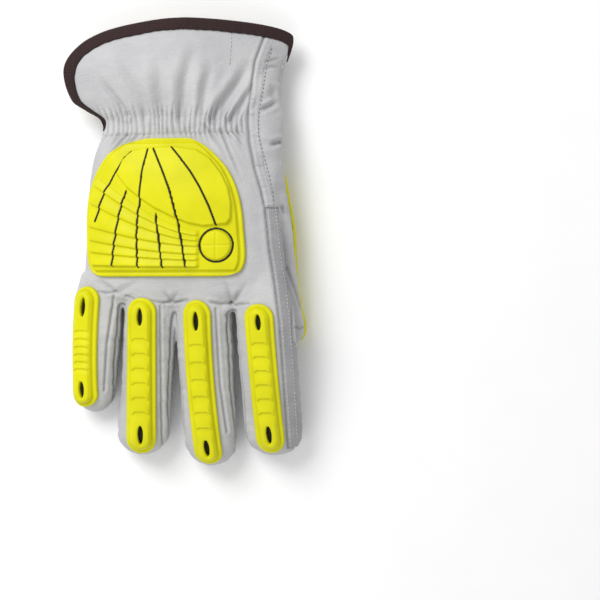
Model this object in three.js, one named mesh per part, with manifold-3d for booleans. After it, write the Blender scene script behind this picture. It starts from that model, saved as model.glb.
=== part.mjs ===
// A right-hand impact glove: goat-grain leather, a knitted lining in the cuff, a bound hem, and moulded guards
// over the back of the hand, the fingers and the thumb. It lies palm down on a surface.
// Millimetres. +Z is up, +Y runs towards the cuff, +X towards the thumb; the origin is on the palm's resting face.
import * as THREE from "three";
import { mergeVertices } from "three/addons/utils/BufferGeometryUtils.js";
import Module from "manifold-3d";

// Driving sizes.
const HAND_REACH = 128; // from the origin to the furthest point of the hem
const PALM_WIDTH = 118; // across the knuckles
const HAND_DEPTH = 28; // through the palm
const LEATHER = 1.6;
const LINING = 1.0;
const TAPE = 0.9; // the hem's binding
const TAPE_WIDTH = 6;
const GAP = 0.3; // between pieces that touch
const GUARD_LIFT = 0.5; // from the leather's skin to a guard or its backing
const SEAM_GAP = 0.4; // between two sewn panels
const GATHER_DEPTH = 1.1; // the elastic's folds across the back of the wrist
const FLUTE_DEPTH = 1.8; // the soft folds of the cuff
const THUMB_LENGTH = 56; // from the origin to the thumb's tip, along -Y
const THUMB_WIDTH = 31;
const THUMB_DEPTH = 17;
const GUARD_THICK = 5; // a finger guard's raised middle
const FLANGE_THICK = 2; // and its flat edge
const FLANGE_WIDTH = 3;
const RIB_DROP = 1.1; // how far each moulded scale falls to the next
const SLOT_LENGTH = 9.5; // the eye-shaped slots at a guard's ends
const SLOT_WIDTH = 3.1;
const SLOT_INSET = 10.5; // a slot's middle from the guard's end
const BACKING = 0.8;
const BACKING_MARGIN = 2.2; // how far a backing stays inside its guard's edge
const PLATE_LENGTH = 77;
const PLATE_THICK = 5.5;
const PLATE_LIFT = 0.7; // from the leather's skin to the plate: the soft back of the hand isn't flat
const SLIT_WIDTH = 1.3;
const BOSS_RADIUS = 8.3;

// How many steps each surface is faceted into.
const HAND_OVER = 20;
const HAND_UNDER = 9;
const FINGER_AROUND = 12;
const HEM_STEPS = 3;

const wasm = await Module();
wasm.setup();

// Small helpers.
const rad = THREE.MathUtils.degToRad;
const { lerp, clamp, smoothstep } = THREE.MathUtils;
const shape = (value, power) => Math.sign(value) * Math.abs(value) ** power;

/** A smooth curve through a table's rows: columns[name](key) for rows sorted by their first column. */
function tableOf(names, rows) {
  const keys = rows.map((row) => row[0]);
  const slopes = names.slice(1).map((_, c) =>
    rows.map((row, i) => {
      const before = rows[Math.max(i - 1, 0)];
      const after = rows[Math.min(i + 1, rows.length - 1)];
      return (after[c + 1] - before[c + 1]) / (after[0] - before[0]);
    }),
  );
  return (key) => {
    const k = clamp(key, keys[0], keys[keys.length - 1]);
    let i = 0;
    while (i < keys.length - 2 && k > keys[i + 1]) i += 1;
    const span = keys[i + 1] - keys[i];
    const t = (k - keys[i]) / span;
    const found = {};
    names.slice(1).forEach((name, c) => {
      const from = rows[i][c + 1];
      const to = rows[i + 1][c + 1];
      const [m0, m1] = [slopes[c][i] * span, slopes[c][i + 1] * span];
      found[name] =
        (2 * t ** 3 - 3 * t ** 2 + 1) * from + (t ** 3 - 2 * t ** 2 + t) * m0 +
        (3 * t ** 2 - 2 * t ** 3) * to + (t ** 3 - t ** 2) * m1;
    });
    return found;
  };
}

/** A closed mesh as a manifold-3d solid. */
function solidOf(geometry) {
  const plain = new THREE.BufferGeometry().setAttribute("position", geometry.getAttribute("position"));
  if (geometry.index) plain.setIndex(geometry.index);
  const merged = mergeVertices(plain, 1e-4);
  const mesh = new wasm.Mesh({
    numProp: 3,
    vertProperties: new Float32Array(merged.attributes.position.array),
    triVerts: new Uint32Array(merged.index.array),
  });
  return new wasm.Manifold(mesh);
}

/** A manifold-3d solid as a geometry. */
function geometryOf(solid) {
  const { vertProperties, triVerts } = solid.getMesh();
  return new THREE.BufferGeometry()
    .setAttribute("position", new THREE.BufferAttribute(vertProperties, 3))
    .setIndex(new THREE.BufferAttribute(triVerts, 1));
}

const unite = (solids) => solids.reduce((all, one) => all.add(one));

/** The volume that triangles enclose; it is negative where they face in. */
function enclosed(position, triangles) {
  const corner = (i) => new THREE.Vector3().fromBufferAttribute(position, i);
  let sum = 0;
  for (let i = 0; i < triangles.length; i += 3) {
    const [a, b, c] = [0, 1, 2].map((k) => corner(triangles[i + k]));
    sum += a.dot(b.cross(c)) / 6;
  }
  return sum;
}

/** The largest body of a solid: the crumbs that a cut leaves beside it are dropped. */
function largest(solid) {
  const { vertProperties, triVerts } = solid.getMesh();
  const position = new THREE.BufferAttribute(vertProperties, 3);
  const owner = Array.from({ length: position.count }, (_, i) => i);
  const find = (i) => {
    let at = i;
    while (owner[at] !== at) at = owner[at];
    return at;
  };
  for (let i = 0; i < triVerts.length; i += 3)
    for (const k of [1, 2]) owner[find(triVerts[i + k])] = find(triVerts[i]);
  const bodies = new Map();
  for (let i = 0; i < triVerts.length; i += 3) {
    const key = find(triVerts[i]);
    if (!bodies.has(key)) bodies.set(key, []);
    bodies.get(key).push(triVerts[i], triVerts[i + 1], triVerts[i + 2]);
  }
  const sorted = [...bodies.values()].sort((a, b) => enclosed(position, b) - enclosed(position, a));
  return solidOf(new THREE.BufferGeometry().setAttribute("position", position).setIndex(sorted[0]));
}

/** A closed solid from rings of points, each ring joined to the next; the ends are closed unless it is a loop. */
function ringSolid(rings, loop = false) {
  const count = rings[0].length;
  const points = rings.flat();
  const faces = [];
  const last = loop ? rings.length : rings.length - 1;
  for (let j = 0; j < last; j += 1)
    for (let i = 0; i < count; i += 1) {
      const [a, b] = [j * count + i, j * count + ((i + 1) % count)];
      const k = ((j + 1) % rings.length) * count;
      const [c, d] = [k + i, k + ((i + 1) % count)];
      // The same diagonal whichever way the rings run, so that faces one above the other stay parallel.
      if (points[k].y > points[j * count].y) faces.push(a, b, d, a, d, c);
      else faces.push(a, b, c, b, d, c);
    }
  if (!loop)
    [0, rings.length - 1].forEach((j) => {
      const cap = closing(rings[j]).map((i) => j * count + i);
      // The side strips cross each rim edge from its start to its end at the first ring, and back at the last.
      faces.push(...(j ? cap : cap.reverse()));
    });
  return outward(points, faces);
}

/** Triangles that close a ring, in the order that the ring runs, found in the plane that fits it best. */
function closing(ring) {
  const facing = new THREE.Vector3();
  ring.forEach((p, i) => facing.add(p.clone().cross(ring[(i + 1) % ring.length])));
  const level = new THREE.Quaternion().setFromUnitVectors(facing.normalize(), new THREE.Vector3(0, 0, 1));
  const flat = ring.map((p) => p.clone().applyQuaternion(level)).map(({ x, y }) => new THREE.Vector2(x, y));
  return THREE.ShapeUtils.triangulateShape(flat, []).flat();
}

/** Points and triangles as a solid whose faces point out. */
function outward(points, faces) {
  const geometry = new THREE.BufferGeometry().setFromPoints(points);
  const turned = faces.slice();
  if (enclosed(geometry.attributes.position, faces) < 0)
    for (let i = 0; i < turned.length; i += 3) [turned[i + 1], turned[i + 2]] = [turned[i + 2], turned[i + 1]];
  return solidOf(geometry.setIndex(turned));
}

// How the glove lies: the height of its middle surface at x = 0, and how far it is rolled towards the little finger
// by the thumb under it. The keys are shares of HAND_REACH along Y, the heights shares of HAND_DEPTH.
const LIE = tableOf(["reach", "height", "slope"], [
  [-0.98, 0.33, 0.01],
  [-0.8, 0.44, 0.04],
  [-0.5, 0.62, 0.15],
  [-0.2, 0.75, 0.2],
  [0.08, 0.76, 0.18],
  [0.25, 0.74, 0.13],
  [0.4, 0.68, 0.07],
  [0.52, 0.62, 0.03],
  [0.6, 0.6, 0],
  [0.8, 0.6, -0.03],
  [1.02, 0.57, -0.05],
]);
const middleHeight = (x, y) => {
  const { height, slope } = LIE(y / HAND_REACH);
  return height * HAND_DEPTH + slope * x;
};

// The hand and cuff, from the knuckles to the hem. left and right are shares of PALM_WIDTH; top, underLeft and
// underRight are shares of HAND_DEPTH; edge is how round the thumb side is, from 2 (round) down to 1 (a sharp fold).
const HAND = tableOf(["reach", "left", "right", "top", "underLeft", "underRight", "edge"], [
  [-0.23, -0.505, 0.485, 0.36, 0.82, 0.28, 2.2],
  [-0.09, -0.494, 0.488, 0.43, 0.89, 0.28, 2.2],
  [0.086, -0.48, 0.466, 0.5, 0.9, 0.32, 2.2],
  [0.227, -0.469, 0.448, 0.52, 0.86, 0.4, 2.2],
  [0.375, -0.444, 0.462, 0.5, 0.74, 0.62, 2.2],
  [0.508, -0.396, 0.468, 0.45, 0.66, 0.66, 2.1],
  [0.57, -0.391, 0.47, 0.43, 0.62, 0.62, 2],
  [0.61, -0.45, 0.468, 0.47, 0.6, 0.6, 1.9],
  [0.656, -0.515, 0.463, 0.52, 0.6, 0.58, 1.8],
  [0.766, -0.566, 0.465, 0.58, 0.6, 0.52, 1.7],
  [0.836, -0.55, 0.483, 0.58, 0.58, 0.45, 1.6],
  [0.92, -0.49, 0.508, 0.55, 0.55, 0.4, 1.55],
  [1.02, -0.38, 0.51, 0.5, 0.5, 0.4, 1.5],
]);

// The hem: how far it reaches, as a share of HAND_REACH, at each angle round the cuff from the thumb side, over the
// back, to the little finger's side, and back along the palm.
const HEM = tableOf(["angle", "reach"], [
  [-25, 0.875],
  [0, 0.905],
  [20, 0.957],
  [45, 0.985],
  [75, 1],
  [95, 1],
  [112, 0.985],
  [130, 0.955],
  [150, 0.905],
  [165, 0.83],
  [180, 0.755],
  [195, 0.68],
  [210, 0.61],
  [228, 0.55],
  [246, 0.52],
  [262, 0.56],
  [275, 0.63],
  [290, 0.71],
  [312, 0.81],
  [335, 0.875],
  [360, 0.905],
  [380, 0.957],
]);

// The cuff's soft folds: where each valley runs, as shares of PALM_WIDTH, how deep and how wide.
const FLUTES = [
  { x: -0.33, depth: 0.8, width: 0.045 },
  { x: -0.17, depth: 0.9, width: 0.05 },
  { x: 0.0, depth: 1, width: 0.045 },
  { x: 0.16, depth: 0.8, width: 0.05 },
];
const GATHER_REACH = 0.53;
const GATHER_SPREAD = 0.1;
const FLUTE_REACH = 0.72;
const FLUTE_SPREAD = 0.16;

/** How far the back of the hand is pushed in at an angle (degrees) and place: the wrist's folds and the cuff's. */
function foldDepth(degrees, x, y) {
  const reach = y / HAND_REACH;
  const across = smoothstep(degrees, 8, 30) * (1 - smoothstep(degrees, 150, 172));
  const gathered = Math.exp(-(((reach - GATHER_REACH) / GATHER_SPREAD) ** 4));
  const step = 180 / HAND_OVER;
  const gathers = (0.5 - 0.5 * Math.cos((Math.PI * degrees) / step)) * gathered * GATHER_DEPTH;
  const fluted = Math.exp(-(((reach - FLUTE_REACH) / FLUTE_SPREAD) ** 2)) * FLUTE_DEPTH;
  const flutes = FLUTES.reduce(
    (sum, f) => sum + f.depth * Math.exp(-(((x / PALM_WIDTH - f.x) / f.width) ** 2)),
    0,
  );
  return across * (gathers + flutes * fluted);
}

/** A flexible tube of the glove: section(y) gives its centre, half width, depths and roll; the floor flattens it. */
class Tube {
  constructor(section, floor = () => 0) {
    this.section = section;
    this.floor = floor;
  }

  /** The point of the skin at an angle round the section at y, inset into the wall. */
  point(degrees, y, inset = 0) {
    const s = this.section(y, inset);
    const [c, h] = [Math.cos(rad(degrees)), Math.sin(rad(degrees))];
    const round = c > 0 ? s.edge : s.round;
    const lean = smoothstep(c, 0.18, 0.85);
    const depth = h > 0 ? s.top : lerp(s.underLeft, s.underRight, lean);
    const fold = h > 0 && s.fold ? s.fold(degrees, s.x + s.half * shape(c, 2 / round)) : 0;
    const u = (s.half - inset) * shape(c, 2 / round) * s.scale;
    const w = (depth - inset - fold) * shape(h, 2 / round) * s.scale;
    const [cr, sr] = [Math.cos(s.roll), Math.sin(s.roll)];
    const z = Math.max(s.z + u * sr + w * cr, this.floor(degrees, y) + inset);
    return new THREE.Vector3(s.x + u * cr - w * sr, y, z);
  }

  normal(degrees, y) {
    const [da, dy] = [1.5, 0.5];
    const around = this.point(degrees + da, y).sub(this.point(degrees - da, y));
    const along = this.point(degrees, y + dy).sub(this.point(degrees, y - dy));
    return along.cross(around).normalize();
  }

  /** The angle, on the upper side, whose point has this x. */
  angleAt(x, y) {
    let [low, high] = [0, 180];
    for (let i = 0; i < 30; i += 1) {
      const mid = (low + high) / 2;
      if (this.point(mid, y).x > x) low = mid;
      else high = mid;
    }
    return (low + high) / 2;
  }

  /** The angle that lies an arc length further round than another, at y; positive goes towards -X over the top. */
  walk(from, length, y) {
    const steps = 12;
    let angle = from;
    for (let i = 0; i < steps; i += 1) {
      const speed = this.point(angle + 1, y).distanceTo(this.point(angle - 1, y)) / 2;
      angle += length / steps / Math.max(speed, 0.02);
    }
    return angle;
  }
}

const evenAngles = (count) => Array.from({ length: count }, (_, i) => (360 * i) / count);

/** Rows of a finger-like tube from its base to its rounded tip, as y values. */
function tipRows(base, tip, round, inset) {
  const straight = 3;
  const dome = 3;
  const start = tip + round;
  const rows = Array.from({ length: straight + 1 }, (_, i) => lerp(base, start, i / straight));
  for (let i = 1; i <= dome; i += 1) rows.push(start - (round - inset) * Math.sin(rad((90 * i) / (dome + 0.6))));
  return rows;
}

/** How much a tube narrows towards its tip: 1 until the dome starts, 0 at the tip. */
function domeScale(y, tip, round, inset) {
  const into = clamp((tip + round - y) / (round - inset), 0, 0.995);
  return Math.sqrt(1 - into ** 2);
}

// The hand.
const hemAt = (degrees) => HEM((degrees + 360) % 360).reach * HAND_REACH;
const KNUCKLES = -0.235;
const KNUCKLE_ROUND = 0.06; // the share of HAND_REACH over which the palm rounds off between the fingers
const LINING_START = 0.29;
const WRIST = 0.36; // beyond it, the rings of the cuff slant with the hem
const handFloor = (degrees, y) => {
  const fromHem = hemAt(degrees) - y;
  return (GAP + TAPE) * (1 - smoothstep(fromHem, 3 * TAPE_WIDTH, 5 * TAPE_WIDTH));
};
const hand = new Tube((y) => {
  const row = HAND(y / HAND_REACH);
  const rounding = clamp((KNUCKLES + 0.05 - y / HAND_REACH) / KNUCKLE_ROUND, 0, 0.9);
  const x = ((row.left + row.right) / 2) * PALM_WIDTH;
  return {
    x,
    z: middleHeight(x, y),
    half: ((row.right - row.left) / 2) * PALM_WIDTH,
    top: row.top * HAND_DEPTH,
    underLeft: row.underLeft * HAND_DEPTH,
    underRight: row.underRight * HAND_DEPTH,
    roll: Math.atan(LIE(y / HAND_REACH).slope),
    edge: row.edge,
    round: 2.2,
    scale: Math.sqrt(1 - rounding ** 2),
    fold: (degrees, at) => foldDepth(degrees, at, y),
  };
}, handFloor);
const handAngles = [
  ...Array.from({ length: HAND_OVER }, (_, i) => (180 * i) / HAND_OVER),
  ...Array.from({ length: HAND_UNDER }, (_, i) => 180 + (180 * i) / HAND_UNDER),
];

/** How far along Y the binding's edge lies from the hem at an angle, so that the tape keeps its width. */
function tapeReach(degrees) {
  const y = hemAt(degrees);
  const [before, after] = [degrees - 3, degrees + 3];
  const level = hand.point(after, y).distanceTo(hand.point(before, y));
  const slanted = hand.point(after, hemAt(after)).distanceTo(hand.point(before, hemAt(before)));
  return Math.min((TAPE_WIDTH * slanted) / level, 2.3 * TAPE_WIDTH);
}
const tapeReaches = handAngles.map(tapeReach);

/** One ring round the cuff: share 0 is the wrist, 1 the binding's edge, 2 the hem; beyond moves it past the hem. */
function cuffRing(share, inset, beyond = 0) {
  const wrist = WRIST * HAND_REACH;
  return handAngles.map((a, i) => {
    const edge = hemAt(a) - tapeReaches[i];
    const further = (beyond * tapeReaches[i]) / TAPE_WIDTH;
    const y = share <= 1 ? lerp(wrist, edge, share) : lerp(edge, hemAt(a), share - 1) + further;
    return hand.point(a, y, inset);
  });
}

/** The hand as rings from one place to the hem, or a little past it. */
function handRings(starts, inset, beyond) {
  const straight = starts.map((s) => handAngles.map((a) => hand.point(a, s * HAND_REACH, inset)));
  const cuff = Array.from({ length: HEM_STEPS + 1 }, (_, i) => cuffRing(i / HEM_STEPS, inset));
  const past = beyond > 0 ? [cuffRing(2, inset, beyond)] : [];
  return [...straight, ...cuff, cuffRing(2, inset, Math.min(beyond, 0)), ...past];
}
const HAND_STARTS = [KNUCKLES, -0.215, -0.18, -0.08, 0.05, 0.17, LINING_START];

// The fingers: where each lies across the palm at its base, middle and tip (shares of PALM_WIDTH), its length from
// the origin (a share of HAND_REACH), its width and depth in millimetres, and its roll in degrees.
const FINGERS = [
  { name: "pinky", base: -0.42, mid: -0.432, end: -0.44, tip: -0.715, width: 28, depth: 20, roll: 20 },
  { name: "ring", base: -0.163, mid: -0.178, end: -0.2, tip: -0.905, width: 29, depth: 21, roll: 7 },
  { name: "middle", base: 0.088, mid: 0.1, end: 0.128, tip: -0.953, width: 30.5, depth: 21.5, roll: 5 },
  { name: "index", base: 0.372, mid: 0.4, end: 0.432, tip: -0.908, width: 31, depth: 21, roll: 7 },
];
const FINGER_BASE = -0.1; // where every finger's tube starts, inside the hand
const TIP_ROUND = 13;

/** A finger's tube: it follows the glove's middle surface and tapers a little towards its tip. */
function fingerTube(finger) {
  const tip = finger.tip * HAND_REACH;
  const base = FINGER_BASE * HAND_REACH;
  return new Tube((y, inset) => {
    const t = clamp((base - y) / (base - tip), 0, 1);
    const across = (1 - t) ** 2 * finger.base + 2 * t * (1 - t) * finger.mid + t ** 2 * finger.end;
    const x = across * PALM_WIDTH;
    const taper = 1 - 0.16 * smoothstep(t, 0.45, 1);
    const bulge = lerp(0.74, 1, smoothstep(t, 0, 0.22));
    const under = lerp(0.46, 0.62, t) * finger.depth;
    return {
      x,
      z: middleHeight(x, y),
      half: (finger.width / 2) * taper * bulge,
      top: (finger.depth / 2) * taper * bulge,
      underLeft: under,
      underRight: under,
      roll: rad(finger.roll) * (1 - 0.5 * t),
      edge: 2.15,
      round: 2.15,
      scale: domeScale(y, tip, TIP_ROUND, inset),
    };
  });
}

// The thumb, from inside the palm to its tip. The keys are shares of THUMB_LENGTH, measured along +Y; left and right are
// shares of PALM_WIDTH, height is in shares of THUMB_DEPTH, and roll turns its back towards the floor's right.
const THUMB = tableOf(["reach", "left", "right", "height", "depth", "roll"], [
  [-1, 0.4, 0.565, 0.64, 0.84, 22],
  [-0.8, 0.372, 0.578, 0.68, 0.95, 24],
  [-0.55, 0.322, 0.562, 0.72, 1, 25],
  [-0.3, 0.282, 0.548, 0.76, 1, 26],
  [0, 0.235, 0.536, 0.78, 1, 27],
  [0.25, 0.2, 0.528, 0.82, 1.05, 28],
  [0.55, 0.16, 0.504, 0.84, 1.1, 28],
  [0.85, 0.14, 0.478, 0.84, 1.1, 26],
  [1.1, 0.15, 0.44, 0.84, 1, 20],
]);
const THUMB_BASE = 1.1;
const thumbTip = -THUMB_LENGTH;
const thumb = new Tube((y, inset) => {
  const row = THUMB(y / THUMB_LENGTH);
  const half = ((row.right - row.left) / 2) * PALM_WIDTH;
  const depth = (row.depth * THUMB_DEPTH) / 2;
  return {
    x: ((row.left + row.right) / 2) * PALM_WIDTH,
    z: row.height * THUMB_DEPTH,
    half: half * (THUMB_WIDTH / 31),
    top: depth,
    underLeft: depth,
    underRight: depth,
    roll: rad(row.roll),
    edge: 2.1,
    round: 2.1,
    scale: domeScale(y, thumbTip, TIP_ROUND, inset),
  };
});

const fingerTubes = FINGERS.map((finger) => ({ finger, tube: fingerTube(finger) }));

/** A finger or thumb as a solid, its skin inset by a wall. */
function digit(tube, base, tip, inset) {
  const angles = evenAngles(FINGER_AROUND);
  return ringSolid(tipRows(base, tip, TIP_ROUND, inset).map((y) => angles.map((a) => tube.point(a, y, inset))));
}

/** The whole glove as one solid, its skin inset by a wall, its mouth carried beyond the hem. */
function gloveSolid(inset, beyond) {
  const reach = inset ? KNUCKLES + inset / HAND_REACH : KNUCKLES;
  // The rim's edge is square to the wall: the end is closed further in.
  const rim = beyond > 0 ? [] : [cuffRing(2, 2 * LEATHER)];
  return unite([
    ringSolid([...handRings([reach, ...HAND_STARTS.slice(1)], inset, beyond), ...rim]),
    ...fingerTubes.map(({ finger, tube }) =>
      digit(tube, FINGER_BASE * HAND_REACH, finger.tip * HAND_REACH, inset),
    ),
    digit(thumb, THUMB_BASE * THUMB_LENGTH, thumbTip, inset),
  ]);
}

// Cutting the leather into its sewn panels.
const PLAN = { west: -0.75 * PALM_WIDTH, east: 0.75 * PALM_WIDTH, south: -1.1 * HAND_REACH, north: 1.1 * HAND_REACH };
const SKY = 3 * HAND_DEPTH;

/** Everything below the glove's middle surface moved up by an offset. */
function below(offset) {
  const [nx, ny] = [2, 14];
  const rings = Array.from({ length: ny + 1 }, (_, j) => {
    const y = lerp(PLAN.south, PLAN.north, j / ny);
    const xs = Array.from({ length: nx + 1 }, (_, i) => lerp(PLAN.west, PLAN.east, i / nx));
    const over = xs.map((x) => new THREE.Vector3(x, y, middleHeight(x, y) + offset));
    return [...over, new THREE.Vector3(PLAN.east, y, -SKY), new THREE.Vector3(PLAN.west, y, -SKY)];
  });
  return ringSolid(rings);
}

/** An upright column over an outline in plan. */
function column(outline) {
  const plan = new THREE.Shape(outline.map(([x, y]) => new THREE.Vector2(x, y)));
  const geometry = new THREE.ExtrudeGeometry(plan, { depth: 2 * SKY, bevelEnabled: false, curveSegments: 1 });
  return solidOf(geometry.translate(0, 0, -SKY));
}

const SIDE_SEAM = -1.5; // the little finger side's seam, below the middle surface
const FOURCHETTE = 4.2; // half of a fourchette's height

/** The strip between two neighbouring fingers' centre lines, ending short of their tips. */
function betweenFingers(left, right, grow) {
  const y = (share) => share * HAND_REACH;
  const centre = ({ tube }, at) => tube.section(at, 0).x;
  const stop = Math.max(left.finger.tip, right.finger.tip) * HAND_REACH + TIP_ROUND * 0.55;
  const web = y(KNUCKLES) + LEATHER + 1.5;
  const levels = [web + grow, y(-0.4), stop - grow];
  return column([
    ...levels.map((at) => [centre(left, at) + 3 - grow, at]),
    ...levels.reverse().map((at) => [centre(right, at) - 3 + grow, at]),
  ]);
}

// The seam on the back from the hem to the strip, and the strip's two edges, as [x, y] in shares of PALM_WIDTH and
// HAND_REACH.
const BACK_SEAM = [[0.33, 1.1], [0.33, 0.9], [0.285, 0.72], [0.265, 0.6], [0.28, 0.48], [0.33, 0.32], [0.385, 0.18]];
const STRIP_LEFT = [[0.385, 0.18], [0.405, 0], [0.432, -0.16], [0.452, -0.32], [0.47, -0.56], [0.492, -0.9]];
const STRIP_TOP = 0.18;
const PALM_SEAM = [[0.24, 1.1], [0.24, 0.9], [0.215, 0.6], [0.195, 0.3], [0.198, 0.085]];
const place = ([x, y], grow = 0) => [x * PALM_WIDTH - grow, y * HAND_REACH];

const shell = gloveSolid(0, 0).subtract(gloveSolid(LEATHER, TAPE_WIDTH));

/** The thumb side of the glove: right of the back seam above the middle, right of the palm seam below, and the thumb. */
function thumbZone(grow) {
  const east = PLAN.east;
  const south = 0.085 * HAND_REACH - grow;
  const upper = column([
    ...BACK_SEAM.map((p) => place(p, grow)),
    [east, STRIP_TOP * HAND_REACH - grow],
    [east, 1.1 * HAND_REACH],
  ]).subtract(below(-grow));
  const lower = column([...PALM_SEAM.map((p) => place(p, grow)), [east, south], [east, 1.1 * HAND_REACH]]).intersect(
    below(grow),
  );
  const angles = evenAngles(FINGER_AROUND);
  const skin = (y) => angles.map((a) => thumb.point(a, y, -0.15 - grow / 2));
  const rows = tipRows(0.5 * THUMB_LENGTH, thumbTip - 1, TIP_ROUND, -0.15 - grow);
  return unite([upper, lower, ringSolid(rows.map(skin))]);
}

/** The index finger's outer side, below its double-stitched edge. */
function stripZone(grow) {
  const south = -HAND_REACH;
  const north = STRIP_TOP * HAND_REACH - SEAM_GAP + grow;
  const left = STRIP_LEFT.map((p) => place(p, grow));
  const corner = left[left.length - 1][0];
  return column([
    [left[0][0], north],
    ...left.slice(1),
    [corner, south],
    [PLAN.east, south],
    [PLAN.east, north],
  ]).subtract(below(-3 - grow));
}

const strip = largest(shell.intersect(stripZone(0)).subtract(thumbZone(SEAM_GAP)));
const thumbPanel = largest(shell.intersect(thumbZone(0)));
const pairs = [0, 1, 2].map((i) => [fingerTubes[i], fingerTubes[i + 1]]);
const band = (grow) => below(FOURCHETTE + grow).subtract(below(-FOURCHETTE - grow));
const fourchettes = pairs.map(([l, r]) => ({
  name: `fourchette_${l.finger.name}_${r.finger.name}`,
  solid: largest(shell.intersect(betweenFingers(l, r, 0)).intersect(band(0))),
}));
const sideways = unite(pairs.map(([l, r]) => betweenFingers(l, r, SEAM_GAP))).intersect(band(SEAM_GAP));
const rest = shell.subtract(thumbZone(SEAM_GAP)).subtract(stripZone(SEAM_GAP)).subtract(sideways);
const backPanel = largest(rest.subtract(below(SIDE_SEAM + SEAM_GAP / 2)));
const palmPanel = largest(rest.intersect(below(SIDE_SEAM - SEAM_GAP / 2)));

// The lining: a sleeve inside the cuff and wrist.
function liningSolid() {
  const depths = [LEATHER + GAP, LEATHER + GAP + LINING];
  const [outer, inner] = depths.map((inset) => handRings([LINING_START], inset, -GAP));
  return ringSolid([...outer, ...inner.reverse()], true);
}

// The binding: tape folded over the hem, outside the leather and inside the lining.
function bindingSolid() {
  const inside = LEATHER + GAP + LINING + 2 * GAP;
  const fold = GAP + TAPE;
  return ringSolid(
    [
      cuffRing(1, -GAP),
      cuffRing(2, -GAP, GAP),
      cuffRing(2, inside, GAP),
      cuffRing(1, inside),
      cuffRing(1, inside + TAPE),
      cuffRing(2, inside + TAPE),
      cuffRing(2, inside / 2, fold + GAP),
      cuffRing(2, -fold),
      cuffRing(1, -fold),
    ],
    true,
  );
}

/** A moulded patch on a tube: rows of points from one end to the other, with a lower and an upper face. */
function patch(rows, columns, locate, low, high, lowColumns = columns) {
  const rings = rows.map((v) => {
    const under = lowColumns.map((u) => locate(u, v, low(u, v)));
    const over = columns.map((u) => locate(u, v, high(u, v)));
    return [...under, ...over.reverse()];
  });
  return ringSolid(rings);
}

// The finger and thumb guards: the places of their ends, as [x, y] in shares of PALM_WIDTH and HAND_REACH, their
// widths in millimetres and how many moulded scales each has. turn is where the thumb's guard sits round the thumb.
const GUARDS = [
  { on: "pinky", from: [-0.463, -0.161], mid: [-0.482, -0.44], to: [-0.477, -0.687], width: 15.5, scales: 6 },
  { on: "ring", from: [-0.2, -0.211], mid: [-0.205, -0.55], to: [-0.208, -0.888], width: 16.5, scales: 6 },
  { on: "middle", from: [0.062, -0.22], mid: [0.08, -0.6], to: [0.119, -0.934], width: 15.5, scales: 6 },
  { on: "index", from: [0.353, -0.237], mid: [0.378, -0.55], to: [0.415, -0.885], width: 16, scales: 6 },
];
const THUMB_GUARD = { from: 0.84, to: -0.93, width: 17.5, scales: 11 };
const THUMB_TURN = 292; // the angle round the thumb of its guard's middle line

/** The thickness of a guard: a flat flange, then a raised body whose scales step down towards the tip. */
function guardThickness(across, along, length, half, scales, slot) {
  const edge = Math.min(half - Math.abs(across), along, length - along);
  const body = smoothstep(edge, FLANGE_WIDTH - 1, FLANGE_WIDTH + 1);
  const ribbed = clamp((along - slot) / (length - 2 * slot), 0, 1);
  const inside = along > slot && along < length - slot;
  const saw = inside ? (ribbed * scales) % 1 : 0;
  return FLANGE_THICK + body * (GUARD_THICK - FLANGE_THICK - RIB_DROP * saw);
}

/** Rows along a guard: close together in the round ends, and two to each scale in the middle. */
function guardRows(length, half, scales, slot) {
  const ends = [0.04, 0.25, 0.65, 1.25].map((share) => share * half);
  const ribs = [];
  for (let i = 0; i <= scales; i += 1) {
    const y = lerp(slot, length - slot, i / scales);
    ribs.push(y - 0.35, y + 0.35);
  }
  return [...ends, ...ribs, ...ends.map((e) => length - e).reverse()];
}

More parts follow.
